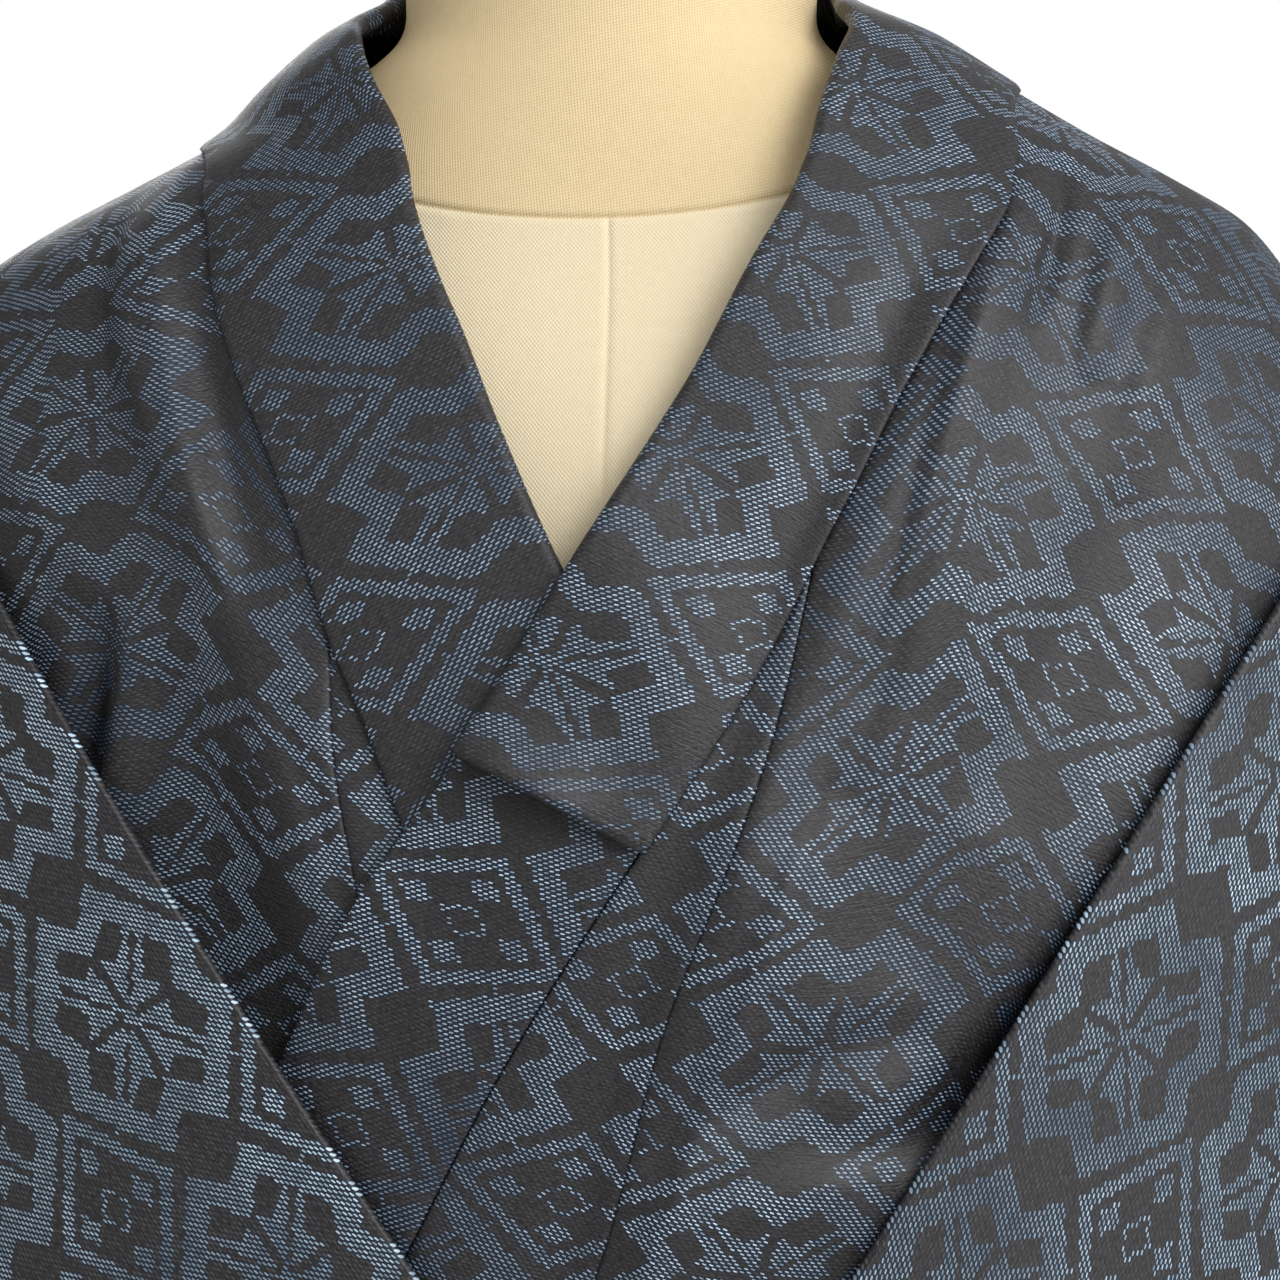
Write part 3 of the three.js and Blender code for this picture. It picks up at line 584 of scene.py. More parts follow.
def floats_group(use):
    """Group: cloth place in metres in; the float's cover, its own shade, the figure and the same short
    thread everywhere out. Each pick is shifted by a fraction of the pitch, and the figure is read at the
    float's middle, so floats are whole."""
    half_long, half_tall = FLOAT_HALF[use]
    results = ["Cover", "Shade", "Figure", "Rib"]
    tree, given, result = group_tree(f"weft floats of the {use}", ["Weft", "Warp"], results)
    m = arithmetic(tree)
    weft = m("MULTIPLY", given.outputs["Weft"], 1000)
    warp = m("MULTIPLY", given.outputs["Warp"], 1000)
    pick = m("DIVIDE", warp, PICK)
    row = m("FLOOR", pick)
    along = m("MULTIPLY_ADD", row, FLOAT_STEP, m("DIVIDE", weft, FLOAT_PITCH))
    column = m("FLOOR", along)
    middle = m("SUBTRACT", m("ADD", column, 0.5), m("MULTIPLY", row, FLOAT_STEP))
    middle_weft = m("MULTIPLY", middle, FLOAT_PITCH)
    middle_warp = m("MULTIPLY", m("ADD", row, 0.5), PICK)
    figure = new_node(tree, "Group", node_tree=LATTICE)
    feed(figure.inputs["Weft"], middle_weft)
    feed(figure.inputs["Warp"], middle_warp)
    near_along = m("SUBTRACT", m("FRACT", along), 0.5)
    near_pick = m("SUBTRACT", m("FRACT", pick), 0.5)
    off_along = m("DIVIDE", near_along, half_long)
    off_pick = m("DIVIDE", m("MULTIPLY_ADD", near_along, FLOAT_SLANT, near_pick), half_tall)
    edge = m("ADD", m("POWER", m("ABSOLUTE", off_along), 4), m("MULTIPLY", off_pick, off_pick))
    cover = m("MULTIPLY", m("SUBTRACT", FLOAT_EDGE["reach"], edge), FLOAT_EDGE["steep"], clamp=True)
    chance = new_node(tree, "TexWhiteNoise", noise_dimensions="2D")
    pair = new_node(tree, "CombineXYZ")
    feed(pair.inputs["X"], column)
    feed(pair.inputs["Y"], row)
    feed(chance.inputs["Vector"], pair.outputs["Vector"])
    feed(result.inputs["Cover"], m("MULTIPLY", cover, figure.outputs["Figure"]))
    shade = m("MULTIPLY_ADD", chance.outputs["Value"], FLOAT_SHADE["range"], FLOAT_SHADE["least"])
    feed(result.inputs["Shade"], shade)
    feed(result.inputs["Figure"], figure.outputs["Figure"])
    feed(result.inputs["Rib"], m("MULTIPLY", cover, chance.outputs["Value"]))
    return tree


FLOATS = {use: floats_group(use) for use in FLOAT_HALF}
print("floats of", FLOAT_PITCH, "by", PICK, "mm")


# %% Mixing, noise and bump
def shader_of(name, roughness, specular):
    """A new material, its tree, its principled shader and its arithmetic, with the even values set."""
    finish = bpy.data.materials.new(name)
    finish.use_nodes = True
    tree = finish.node_tree
    shader = tree.nodes["Principled BSDF"]
    feed(shader.inputs["Roughness"], roughness)
    feed(shader.inputs["Specular IOR Level"], specular)
    return finish, tree, shader, arithmetic(tree)


def mixed(tree, share, first, second):
    """Colour between two colours, by a share."""
    mix = new_node(tree, "Mix", data_type="RGBA")
    feed(mix.inputs["Factor"], share)
    for socket, value in ((mix.inputs["A"], first), (mix.inputs["B"], second)):
        feed(socket, (*value, 1) if isinstance(value, tuple) else value)
    return mix.outputs["Result"]


def uneven(tree, source, scale, detail):
    """Soft noise from 0 to 1 over a coordinate."""
    noise = new_node(tree, "TexNoise")
    feed(noise.inputs["Scale"], scale)
    feed(noise.inputs["Detail"], detail)
    feed(noise.inputs["Vector"], source)
    return noise.outputs["Fac"]


def stretched(tree, source, scale, noise_scale, detail):
    """Noise that is longer one way than another, because its coordinate is scaled unevenly first."""
    stretch = new_node(tree, "Mapping")
    feed(stretch.inputs["Scale"], scale)
    feed(stretch.inputs["Vector"], source)
    return uneven(tree, stretch.outputs["Vector"], noise_scale, detail)


def raised(tree, shader, height, distance, strength):
    """A bump of a given depth in metres under the shader."""
    bump = new_node(tree, "Bump")
    feed(bump.inputs["Distance"], distance)
    feed(bump.inputs["Strength"], strength)
    feed(bump.inputs["Height"], height)
    feed(shader.inputs["Normal"], bump.outputs["Normal"])


# %% The silk
SILK_GROUND = ((0.003, 0.0028, 0.0035), (0.034, 0.031, 0.034))
SILK_UNDER = (0.008, 0.013, 0.026)
SILK_RIB = (0.085, 0.086, 0.097)
# Float colours from unlit to lit, mixed by the painted sheen. The sleeve's pair is brighter than the
# body's: a lit copy of the same silk, painted light.
SILK_FLOAT = {
    "body": ((0.04, 0.065, 0.1), (0.56, 0.72, 0.88)),
    "sleeve": ((0.045, 0.078, 0.12), (0.62, 0.8, 0.95)),
}
WEFT_LINES = (520, 1900, 1)
SLUBS = (60, 900, 1)
THREAD_HIGH = 0.00025


def figured_silk(use):
    """Warm black satin, navy under the figure, pale floats where the cover is. Fine lines of weft run
    through it all. Broad noise paints the floats' sheen, paler in some patches and fainter in others,
    and the faint floats of the plain ground fade where that painted sheen is high."""
    finish, tree, shader, m = shader_of(f"figured silk of the {use}", 0.45, 0.4)
    place = new_node(tree, "UVMap", uv_map="cloth").outputs["UV"]
    parts = new_node(tree, "SeparateXYZ")
    feed(parts.inputs["Vector"], place)
    floats = new_node(tree, "Group", node_tree=FLOATS[use])
    feed(floats.inputs["Weft"], parts.outputs["X"])
    feed(floats.inputs["Warp"], parts.outputs["Y"])
    cover = floats.outputs["Cover"]
    # Painted sheen: broad noise lights the floats in some patches and dims them in others, and dims the
    # ground's faint floats where the floats are lit.
    painted_sheen_patches = uneven(tree, place, 10, 3)
    shine = m("MULTIPLY", floats.outputs["Shade"], m("MULTIPLY_ADD", painted_sheen_patches, 2.4, -0.68), clamp=True)
    thread = mixed(tree, shine, *SILK_FLOAT[use])
    lines = stretched(tree, place, WEFT_LINES, 1, 2)
    slubs = stretched(tree, place, SLUBS, 1, 1)
    grain = m("MULTIPLY_ADD", lines, 2.2, -0.6, clamp=True)
    rib = m("MULTIPLY", floats.outputs["Rib"], m("MULTIPLY_ADD", painted_sheen_patches, -1.6, 1.5), clamp=True)
    plain = mixed(tree, rib, mixed(tree, grain, *SILK_GROUND), SILK_RIB)
    under = mixed(tree, floats.outputs["Figure"], plain, SILK_UNDER)
    feed(shader.inputs["Base Color"], mixed(tree, cover, under, thread))
    gloss = m("MULTIPLY_ADD", cover, -0.1, m("MULTIPLY_ADD", slubs, 0.14, 0.42))
    feed(shader.inputs["Roughness"], gloss)
    feed(shader.inputs["Anisotropic"], 0.5)
    way = new_node(tree, "Tangent", direction_type="UV_MAP", uv_map="cloth")
    feed(shader.inputs["Tangent"], way.outputs["Tangent"])
    threads = m("ADD", m("MULTIPLY", lines, 0.8), m("MULTIPLY", slubs, 0.5))
    height = m("ADD", threads, m("MAXIMUM", cover, m("MULTIPLY", floats.outputs["Rib"], 0.8)))
    raised(tree, shader, height, THREAD_HIGH, 0.9)
    return finish


SILK = figured_silk("body")
SLEEVE_SILK = figured_silk("sleeve")
print("silk made with", len(SILK.node_tree.nodes), "nodes")

# %% [markdown]
# ## Canvas, wood and steel
# The dress form is covered with stretched cotton canvas, a plain weave seen as a fine check of threads.
# Its neck piece is cut on the bias, so there the threads run slantwise. The cap is turned hardwood, the
# stand is steel with a black satin enamel. Tiled pictures could carry all three, but a few nodes stay
# sharp from any distance and leave no join.


# %% The other finishes
# Threads are that many millimetres apart. A wave one millimetre long turns by two pi times a thousand
# radians in a metre.
THREAD_APART = {"X": 1.1, "Y": 1.3}
WAVE_TURN = 6283


def canvas(name, colour, shade, slant):
    """Plain weave: the product of two crossed sine waves, turned by a slant in degrees, lights the
    threads and bumps them."""
    finish, tree, shader, m = shader_of(name, 0.85, 0.25)
    place = new_node(tree, "UVMap", uv_map="cloth").outputs["UV"]
    turn = new_node(tree, "Mapping")
    feed(turn.inputs["Rotation"], (0, 0, slant * RADIAN))
    feed(turn.inputs["Vector"], place)
    parts = new_node(tree, "SeparateXYZ")
    feed(parts.inputs["Vector"], turn.outputs["Vector"])
    waves = [
        m("SINE", m("MULTIPLY", parts.outputs[axis], WAVE_TURN / apart))
        for axis, apart in THREAD_APART.items()
    ]
    weave = m("MULTIPLY", *waves)
    slub = uneven(tree, place, 260, 2)
    tone = m("ADD", m("MULTIPLY_ADD", weave, 0.2, 0.3), m("MULTIPLY", slub, 0.4), clamp=True)
    feed(shader.inputs["Base Color"], mixed(tree, tone, shade, colour))
    raised(tree, shader, weave, 0.00015, 0.6)
    return finish


CHEST_CANVAS = canvas("chest canvas", (0.86, 0.75, 0.53), (0.74, 0.62, 0.41), 0)
NECK_CANVAS = canvas("neck canvas", (0.82, 0.66, 0.4), (0.68, 0.52, 0.29), 38)


def turned_wood():
    """Hardwood under satin varnish: stretched noise makes rings of two browns."""
    finish, tree, shader, _ = shader_of("varnished wood", 0.35, 0.5)
    place = new_node(tree, "TexCoord").outputs["Object"]
    grain = stretched(tree, place, (1, 1, 0.15), 90, 4)
    feed(shader.inputs["Base Color"], mixed(tree, grain, (0.13, 0.055, 0.02), (0.33, 0.16, 0.065)))
    feed(shader.inputs["Coat Weight"], 0.4)
    feed(shader.inputs["Coat Roughness"], 0.2)
    raised(tree, shader, grain, 0.0002, 0.3)
    return finish


def black_enamel():
    """Satin black paint: dark, slightly uneven in gloss."""
    finish, tree, shader, m = shader_of("black enamel", 0.35, 0.5)
    feed(shader.inputs["Base Color"], (0.02, 0.02, 0.022, 1))
    gloss = uneven(tree, new_node(tree, "TexCoord").outputs["Object"], 60, 3)
    feed(shader.inputs["Roughness"], m("MULTIPLY_ADD", gloss, 0.2, 0.25))
    return finish


WOOD = turned_wood()
STEEL = black_enamel()
print("finishes:", ", ".join(material.name for material in bpy.data.materials))

# %% [markdown]
# ## Rows, columns and flat coordinates of the body
# A body panel is a single strip that comes up the front, goes over the shoulder and down the back.
# Dressed on a figure it slants: the warp leans outward as it rises to the shoulder and hangs straight
# below the sash line. Blender could unwrap the finished mesh, but would stretch the figure where the
# cloth is curved. Here lengths are measured on the surface and turned by a slant that fades with depth,
# so the figure stays square on the cloth.

# %% Even rows, even columns
FINE_TOP = -450
FINE_RUN = 120
ROWS_TOP = -13


def even_rows(bottom, top, fine, coarse):
    """Heights spaced evenly along the side's outline: fine above the sash line, coarse on the skirt."""
    height = np.linspace(bottom, top, 5000)
    run = np.hypot(np.diff(height), np.diff(half["left"](height)))
    spacing = fine + (coarse - fine) * smooth((FINE_TOP - height[1:]) / FINE_RUN)
    count = added_up(run / spacing)
    return np.interp(np.linspace(0, count[-1], int(count[-1]) + 2), count, height)


SEAM_COLUMNS = np.array([0, 0.7, 1.5, 2.6])
NARROW_STRIP = 14


def edge_spacing(width, count, first, last, gather):
    """Distances across a strip, with three close ones at the edges that are seams. A gather over 1 is
    the power that draws the others together towards the first edge."""
    near = SEAM_COLUMNS * np.minimum(1, width / NARROW_STRIP)[:, None]
    low = near if first else near[:, :1]
    high = near if last else near[:, :1]
    body = np.linspace(0, 1, count + 2)[1:-1] ** gather
    between = low[:, -1:] + (width[:, None] - low[:, -1:] - high[:, -1:]) * body
    return np.concatenate([low, between, width[:, None] - high[:, ::-1]], 1)


def spread_turns(start, stop, height, sign, count, first, last, gather=1.0):
    """Turns on each row at those distances: the way round is added up and read backwards."""
    fine = start[:, None] + (stop - start)[:, None] * np.linspace(0, 1, 160)
    middle = sign * (fine[:, 1:] + fine[:, :-1]) / 2
    way = np.abs(np.diff(fine, axis=1)) * per_degree(middle, height[:, None])
    run = added_up(way)
    wanted = edge_spacing(run[:, -1], count, first, last, gather)
    return np.stack([np.interp(w, r, f) for w, r, f in zip(wanted, run, fine)])


ROWS = even_rows(HEM, ROWS_TOP, 2.4, 14)
print(len(ROWS), "rows from hem to neckline")


# %% Length of the warp from the shoulder line
EVEN_FROM = -130
EVEN_RUN = 330
LEVEL_COLUMNS = 40


def warp_table(side, facing):
    """Table over height and distance from the centre plane: the steps between places that keep their
    distance, added up from the neck point's level down. Above the shoulder line a step is plain height,
    and towards the sash line the depth evens out. The last row holds the shoulder line's own depth."""
    height = np.concatenate([np.arange(0, -300, -2), np.arange(-300, HEM - 8, -6)]).astype(float)
    apart = np.arange(0, 320, 4.0)
    angle = np.linspace(0, 90, 91)
    turn = SIDE_SIGN[side] * (angle if facing == "front" else 180 - angle)
    way = per_degree(turn[None, :-1] * 0.5 + turn[None, 1:] * 0.5, height[:, None])
    run = added_up(way)
    found = np.stack([np.interp(apart, r, turn) for r in run])
    place = on_drape(found, height[:, None], lifted=False)
    there = apart < run[1:, -1:]
    step = np.where(there, np.linalg.norm(np.diff(place, axis=0), axis=-1), -np.diff(height)[:, None])
    ridge = (step * ~there).sum(0)
    depth = added_up(step, 0)
    level = depth[:, :LEVEL_COLUMNS].mean(1, keepdims=True)
    evened = smooth((EVEN_FROM - height) / EVEN_RUN)[:, None]
    return height, apart, depth + (level - depth) * evened, ridge


def read_table(table, height, apart):
    """Value between the four nearest entries, weighted by nearness."""
    heights, aparts, values = table[:3]
    i = np.interp(-height, -heights, np.arange(len(heights)))
    j = np.interp(apart, aparts, np.arange(len(aparts)))
    low_i = np.minimum(i.astype(int), len(heights) - 2)
    low_j = np.minimum(j.astype(int), len(aparts) - 2)
    s, t = i - low_i, j - low_j
    top = values[low_i, low_j] * (1 - t) + values[low_i, low_j + 1] * t
    return top * (1 - s) + (values[low_i + 1, low_j] * (1 - t) + values[low_i + 1, low_j + 1] * t) * s


WARP = {(side, facing): warp_table(side, facing) for side in COLLAR for facing in ("front", "back")}

# %% The slant of the warp
SLANT = {"left": 16.5, "right": 10}
SLANT_ENDS = {"front": (300, 600), "back": (120, 330)}
RIDGE_FADE = 55
DEPTHS = np.linspace(0, 1800, 601)


def slanted(side, facing, depth, apart):
    """Flat place of a depth and a distance: the pair is turned by the slant, whose sine and cosine are
    added up over the depth because the slant fades out between its two ends."""
    first, last = SLANT_ENDS[facing]
    angle = SLANT[side] * RADIAN * (1 - smooth((DEPTHS - first) / (last - first)))
    sine_run, cosine_run = (
        added_up((part[1:] + part[:-1]) * (DEPTHS[1] / 2))
        for part in (np.sin(angle), np.cos(angle))
    )
    here = np.interp(depth, DEPTHS, angle)
    weft = apart * np.cos(here) + np.interp(depth, DEPTHS, sine_run)
    return weft, np.interp(depth, DEPTHS, cosine_run) - apart * np.sin(here)


def flat_half(side, facing, height, apart):
    """Flat place on one half: slanted, less what the shoulder line itself has, so that both halves meet
    on it."""
    table = WARP[side, facing]
    depth = read_table(table, height, np.abs(apart))
    weft, warp = slanted(side, facing, depth, apart)
    ridge = np.interp(np.abs(apart), table[1], table[3])
    at_ridge = slanted(side, facing, ridge, apart)[1]
    return weft, warp - at_ridge * np.exp(-np.maximum(depth - ridge, 0) / RIDGE_FADE)


def body_cloth(side, turn, height, facing_front, shift):
    """Flat place in metres: distance from the centre plane, and the warp's length, minus on the back."""
    from_front = np.abs(round_from_front(turn, height))
    from_back = np.abs(round_from_front(SIDE_SIGN[side] * 180, height)) - from_front
    apart = np.where(facing_front, from_front, from_back)
    apart = np.where((SIDE_SIGN[side] * turn < 0) & facing_front, -apart, apart)
    front = flat_half(side, "front", height, apart)
    back = flat_half(side, "back", height, apart)
    weft = np.where(facing_front, front[0], back[0])
    warp = np.where(facing_front, front[1], -back[1])
    return np.stack([SIDE_SIGN[side] * weft + shift[0], warp + shift[1]], -1) / 1000


print("warp from shoulder to hem:", round(float(WARP["left", "front"][2][-1, 30])), "mm")


# %% Creased points of the drape
def seam_dip(distance, depth=0.8, width=0.9):
    """Cloth turning in at a seam: a fading exponential of the distance from it."""
    return -depth * np.exp(-distance / width)


def worn(side, turn, height, out=0.0):
    """Points of the drape with its strokes, and with the lap on the left."""
    across = round_from_front(turn, height)
    creases = stroke_lift(across, np.broadcast_to(height, across.shape), STROKES)
    lap = lap_lift(turn, height) if side == "left" else 0
    return on_drape(turn, height, out + lap, creases=creases)


# %% [markdown]
# ## Body panels
# Each panel runs from the centre back seam round to the seam of its overlap strip. The collar is sewn to
# its top. A panel could be cut from a copy of the plain solid, but its rows would not follow the cloth.
# Seams of a kimono are pressed to one side and show as a fine dark line, so the net's edges turn in by
# about a millimetre. The side seam is a groove, because front and back are one net here.

# %% The two body panels
FRONT_COLUMNS = 96
BACK_COLUMNS = 44
FRONT_GATHER = 1.25
SHOULDER = {"from": -110, "run": 50}
SIDE_GROOVE = {"deep": 0.9, "wide": 1.6, "top": -390}
PANEL_SHIFT = {"left": (10, -26), "right": (0, -8)}


def body_panel(side):
    """Columns from the front edge to the side and on to the centre back, on every row of heights."""
    sign = SIDE_SIGN[side]
    tip = OVERLAP_SEAM[side]["height"][-1]
    edge = np.where(ROWS > tip, seam_turn[side](ROWS), overlap_turn[side](ROWS))
    edge = edge + SEAM_GAP / 2 / per_degree(sign * edge, ROWS)
    back = 180 - SEAM_GAP / 2 / per_degree(np.array(180.0), ROWS)
    share = FRONT_COLUMNS / (FRONT_COLUMNS + BACK_COLUMNS)
    over_shoulder = smooth((ROWS - SHOULDER["from"]) / SHOULDER["run"])
    middle = 90 + over_shoulder * (edge + (back - edge) * share - 90)
    front = spread_turns(edge, middle, ROWS, sign, FRONT_COLUMNS, True, False, FRONT_GATHER)
    rear = spread_turns(middle, back, ROWS, sign, BACK_COLUMNS, False, True)
    turn = np.concatenate([front, rear[:, 1:]], 1) * sign
    side_column = front.shape[1] - 1
    height = np.broadcast_to(ROWS[:, None], turn.shape)
    run = np.abs(round_from_front(turn, height))
    away = np.minimum(np.abs(run - run[:, :1]), np.abs(run[:, -1:] - run))
    beside = (run - run[:, side_column][:, None]) / SIDE_GROOVE["wide"]
    groove = -SIDE_GROOVE["deep"] * np.exp(-(beside**2)) * (height < SIDE_GROOVE["top"])
    points = worn(side, turn, height, seam_dip(away) + groove)
    at_front = np.abs(turn) < 90
    cloth_before = body_cloth(side, turn, height, at_front, PANEL_SHIFT[side])
    join = at_front.copy()
    join[:, side_column] = True
    cloth_after = body_cloth(side, turn, height, join, PANEL_SHIFT[side])
    if sign < 0:
        return points[:, ::-1], cloth_after[:, ::-1], cloth_before[:, ::-1]
    return points, cloth_before, cloth_after


def body_piece(side):
    """The panel's mesh. A face takes one flat place at its near column and the other at its far one."""
    points, near, far = body_panel(side)
    piece = net_piece(f"{side}_body_panel", points, near, SILK, thick=1.4)
    rows, columns = points.shape[:2]
    faces = net_faces(rows, columns, False)
    places = near.reshape(-1, 2)[faces]
    places[:, 1:3] = far.reshape(-1, 2)[faces[:, 1:3]]
    piece.data.uv_layers["cloth"].data.foreach_set("uv", places.astype(np.float32).ravel())
    return piece


body_left = body_piece("left")
body_right = body_piece("right")

# %% [markdown]
# ## Overlap strips
# A narrow strip, half a loom width, is sewn down each front edge. Its own front edge is slanted under
# the collar and straight below it. It could be one net with the body panel and a groove between them,
# but it is a piece of its own on the real thing, with its own figure. Left lies over right.

# %% The two overlap strips
OVERLAP_COLUMNS = 46
OVERLAP_SHIFT = (23, 17)


def overlap_piece(side):
    """Columns from the body's seam to the collar's seam, or to the free edge below the collar."""
    sign = SIDE_SIGN[side]
    tip = OVERLAP_SEAM[side]["height"][-1]
    rows = ROWS[ROWS < tip - 2]
    free = seam_turn[side](np.array(float(COLLAR_END)))
    trim = SEAM_GAP / 2 / per_degree(sign * free, rows)
    start = overlap_turn[side](rows) - trim
    stop = np.where(rows > COLLAR_END, seam_turn[side](rows), free) + trim
    turn = sign * spread_turns(start, stop, rows, sign, OVERLAP_COLUMNS, True, True)
    height = np.broadcast_to(rows[:, None], turn.shape)
    run = round_from_front(turn, height)
    away = np.minimum(np.abs(run - run[:, :1]), np.abs(run[:, -1:] - run))
    points = worn(side, turn, height, seam_dip(away))
    shift = (sign * OVERLAP_SHIFT[0], OVERLAP_SHIFT[1])
    cloth = body_cloth(side, turn, height, np.full(turn.shape, True), shift)
    flip = slice(None, None, -1) if sign > 0 else slice(None)
    return net_piece(f"{side}_overlap_strip", points[:, flip], cloth[:, flip], SILK, thick=1.4)


overlap_left = overlap_piece("left")
overlap_right = overlap_piece("right")

# %% [markdown]
# ## The collar and its cover
# The collar is one long band, folded along its free edge, that goes round the neck and down both
# slanted fronts. A shorter band of the same silk covers it where it soils most. The cover's ends lie
# free, and the left one lifts a little from the collar. A band could be a curve with a flat profile, but
# that twists where the neck is tight. So both are a line of places along the seam with the free edge
# beside it, and at that edge the net turns round a small fold and runs back inside.

# %% Places along the collar
COLLAR_STEP = 2.4
COLLAR_COLUMNS = 22
COLLAR_WIDTH = 55
COLLAR_SHARES = np.concatenate([
    [0, 0.012, 0.028],
    np.linspace(0.05, 0.96, COLLAR_COLUMNS),
    [0.985, 1],
])
SEAM_TOP = -12
DEGREE_LONG = 3
BACK_PEAK = 0.18
BACK_ROUND = 14


def collar_run(side, lowest):
    """Seam heights from the band's end to the centre back, spaced evenly along the seam."""
    last_rise = np.linspace(ROWS_TOP, SEAM_TOP, 300)[1:]
    height = np.concatenate([np.linspace(lowest, ROWS_TOP, 3000), last_rise])
    place = on_drape(SIDE_SIGN[side] * seam_turn[side](height), height, lifted=False)
    run = added_up(np.linalg.norm(np.diff(place, axis=0), axis=1))
    return np.interp(np.linspace(0, run[-1], int(run[-1] / COLLAR_STEP)), run, height)


def collar_net(lowest, start):
    """Net from the right end of the band round the neck to the left end. Each row goes from a start, in
    millimetres past the seam, to the free edge, and dips a little towards the centre back."""
    sides = []
    for side in ("right", "left"):
        table = COLLAR[side]
        edge, edge_at = curve(table["seam"], table["edge"]), curve(table["seam"], table["edge_turn"])
        seam = collar_run(side, lowest)[:, None]
        rise, swing = edge(seam) - seam, edge_at(seam) - seam_turn[side](seam)
        first = start / np.hypot(rise, swing * DEGREE_LONG)
        across = first + (1 - first) * COLLAR_SHARES
        turn = SIDE_SIGN[side] * (seam_turn[side](seam) + swing * across)
        from_back = 180 - np.abs(turn)
        peak = BACK_PEAK * across * (np.hypot(from_back, BACK_ROUND) - from_back)
        sides.append(worn(side, turn, seam + rise * across - peak))
    return np.concatenate([sides[0], sides[1][::-1][1:]])


# %% The folded edge, and the collar
FOLD_STEPS = 7
RUN_COLUMN = 8


def band_run(points):
    """Distance along a band from its right end, on a column near the seam."""
    return added_up(np.linalg.norm(np.diff(points[:, RUN_COLUMN], axis=0), axis=-1))


def folded_band(points, out, radius, tuck):
    """The net moved out, then carried round a half circle at the free edge and back inside by a tuck."""
    normal = normals_of(points)
    width = np.linalg.norm(points[:, -1] - points[:, 0], axis=-1).mean()
    outward = points[:, -1:] - points[:, -3:-2]
    outward = outward / np.linalg.norm(outward, axis=-1, keepdims=True)
    crown = out + seam_dip(COLLAR_SHARES * COLLAR_WIDTH, width=1)
    face = points + normal * np.broadcast_to(crown, points.shape[:2])[..., None]
    angle = np.linspace(0, np.pi, FOLD_STEPS)[1:]
    rounded = face[:, -1:] + outward * (radius * np.sin(angle))[:, None]
    rounded = rounded - normal[:, -1:] * (radius * (1 - np.cos(angle)))[:, None]
    back = np.array([3, 6, tuck])
    inside = rounded[:, -1:] - outward * back[:, None]
    around = [COLLAR_SHARES * width, width + radius * angle, width + 3 * radius + back]
    weft, warp = np.meshgrid(np.concatenate(around), band_run(points))
    return np.concatenate([face, rounded, inside], 1), np.stack([weft, warp], -1) / 1000


band, band_cloth = folded_band(collar_net(COLLAR_END, SEAM_GAP), 0.35, 0.8, 9)
collar = net_piece("collar_band", band, band_cloth + (0.013, 0.02), SILK, thick=1.1)

# %% The cover and its lifted ends
COVER_OUT = 2.4
COVER_START = -0.6
LEFT_LIFT = {"rise": 6.4, "run": 13, "power": 1.6}
RIGHT_LIFT = {"rise": 1.2, "run": 10, "power": 2}


def lifted_end(points):
    """Extra rise near both ends: it falls off with the distance from the end, and is most at the free
    edge."""
    from_right = band_run(points)
    from_left = from_right[-1] - from_right
    lift = sum(
        end["rise"] * np.exp(-((away / end["run"]) ** end["power"]))
        for end, away in ((LEFT_LIFT, from_left), (RIGHT_LIFT, from_right))
    )
    tilt = 0.35 + 0.9 * smooth((COLLAR_SHARES - 0.1) / 0.5) * smooth((1.25 - COLLAR_SHARES) / 0.5)
    return lift[:, None] * tilt


cover_points = collar_net(COVER_END, COVER_START)
cover, cover_cloth = folded_band(cover_points, COVER_OUT + lifted_end(cover_points), 2.4, 8)
collar_cover = net_piece("cover_band", cover, cover_cloth + (0.035, 0.041), SILK, thick=0.9)

# %% [markdown]
# ## The sleeves
# A sleeve is one rectangle folded at the top and sewn into a bag, open at the armhole, at the cuff and
# below the armhole. Hung forward on a form with no arms, its top fold makes a straight slanting edge
# that starts at the shoulder and crosses the chest. Cloth simulation could drop a flat bag there, but
# its fold would not stay so straight. The net goes once round the bag: up the inner layer, round the
# fold in a small half circle, and down the outer layer.

# %% The run of a sleeve
SLEEVE_DEPTH = 490
ARMHOLE_SHARE = 230 / SLEEVE_DEPTH
ARMHOLE_WIDTH = 45
SLEEVE_HANG = {"from": 33, "to": 84, "rate": 1.15}
BAG = {"middle": 16, "mouth": 12}
ARM_OUT = 6.5
CUFF_OUT = 5
SWING = 27
FOLD_RADIUS = 0.9
SLEEVE_FOLD = {
    "left": ((209, -156), (33, -428)),
    "right": ((180, -157), (-8, -418)),
}


def hang_table(parts=400):
    """Way round and way down from the top fold: cosine and sine of a slope that steepens, added up."""
    share = (np.arange(parts) + 0.5) / parts
    bend = smooth(share * SLEEVE_HANG["rate"])
    slope = (SLEEVE_HANG["from"] + (SLEEVE_HANG["to"] - SLEEVE_HANG["from"]) * bend) * RADIAN
    steps = np.stack([np.cos(slope), np.sin(slope)]) * SLEEVE_DEPTH / parts
    return np.linspace(0, 1, parts + 1), added_up(steps)


HANG_SHARE, HANG_WAY = hang_table()


def walk_round(side, turn, height, distance, out, parts=24):
    """Turn reached after a distance round the surface, taken in short equal steps."""
    at = turn
    for _ in range(parts):
        wide, deep = halves(SIDE_SIGN[side] * at, height)
        speed = np.hypot((wide + out) * np.cos(at * RADIAN), (deep + out) * np.sin(at * RADIAN)) * RADIAN
        at = at + distance / parts / speed
    return at


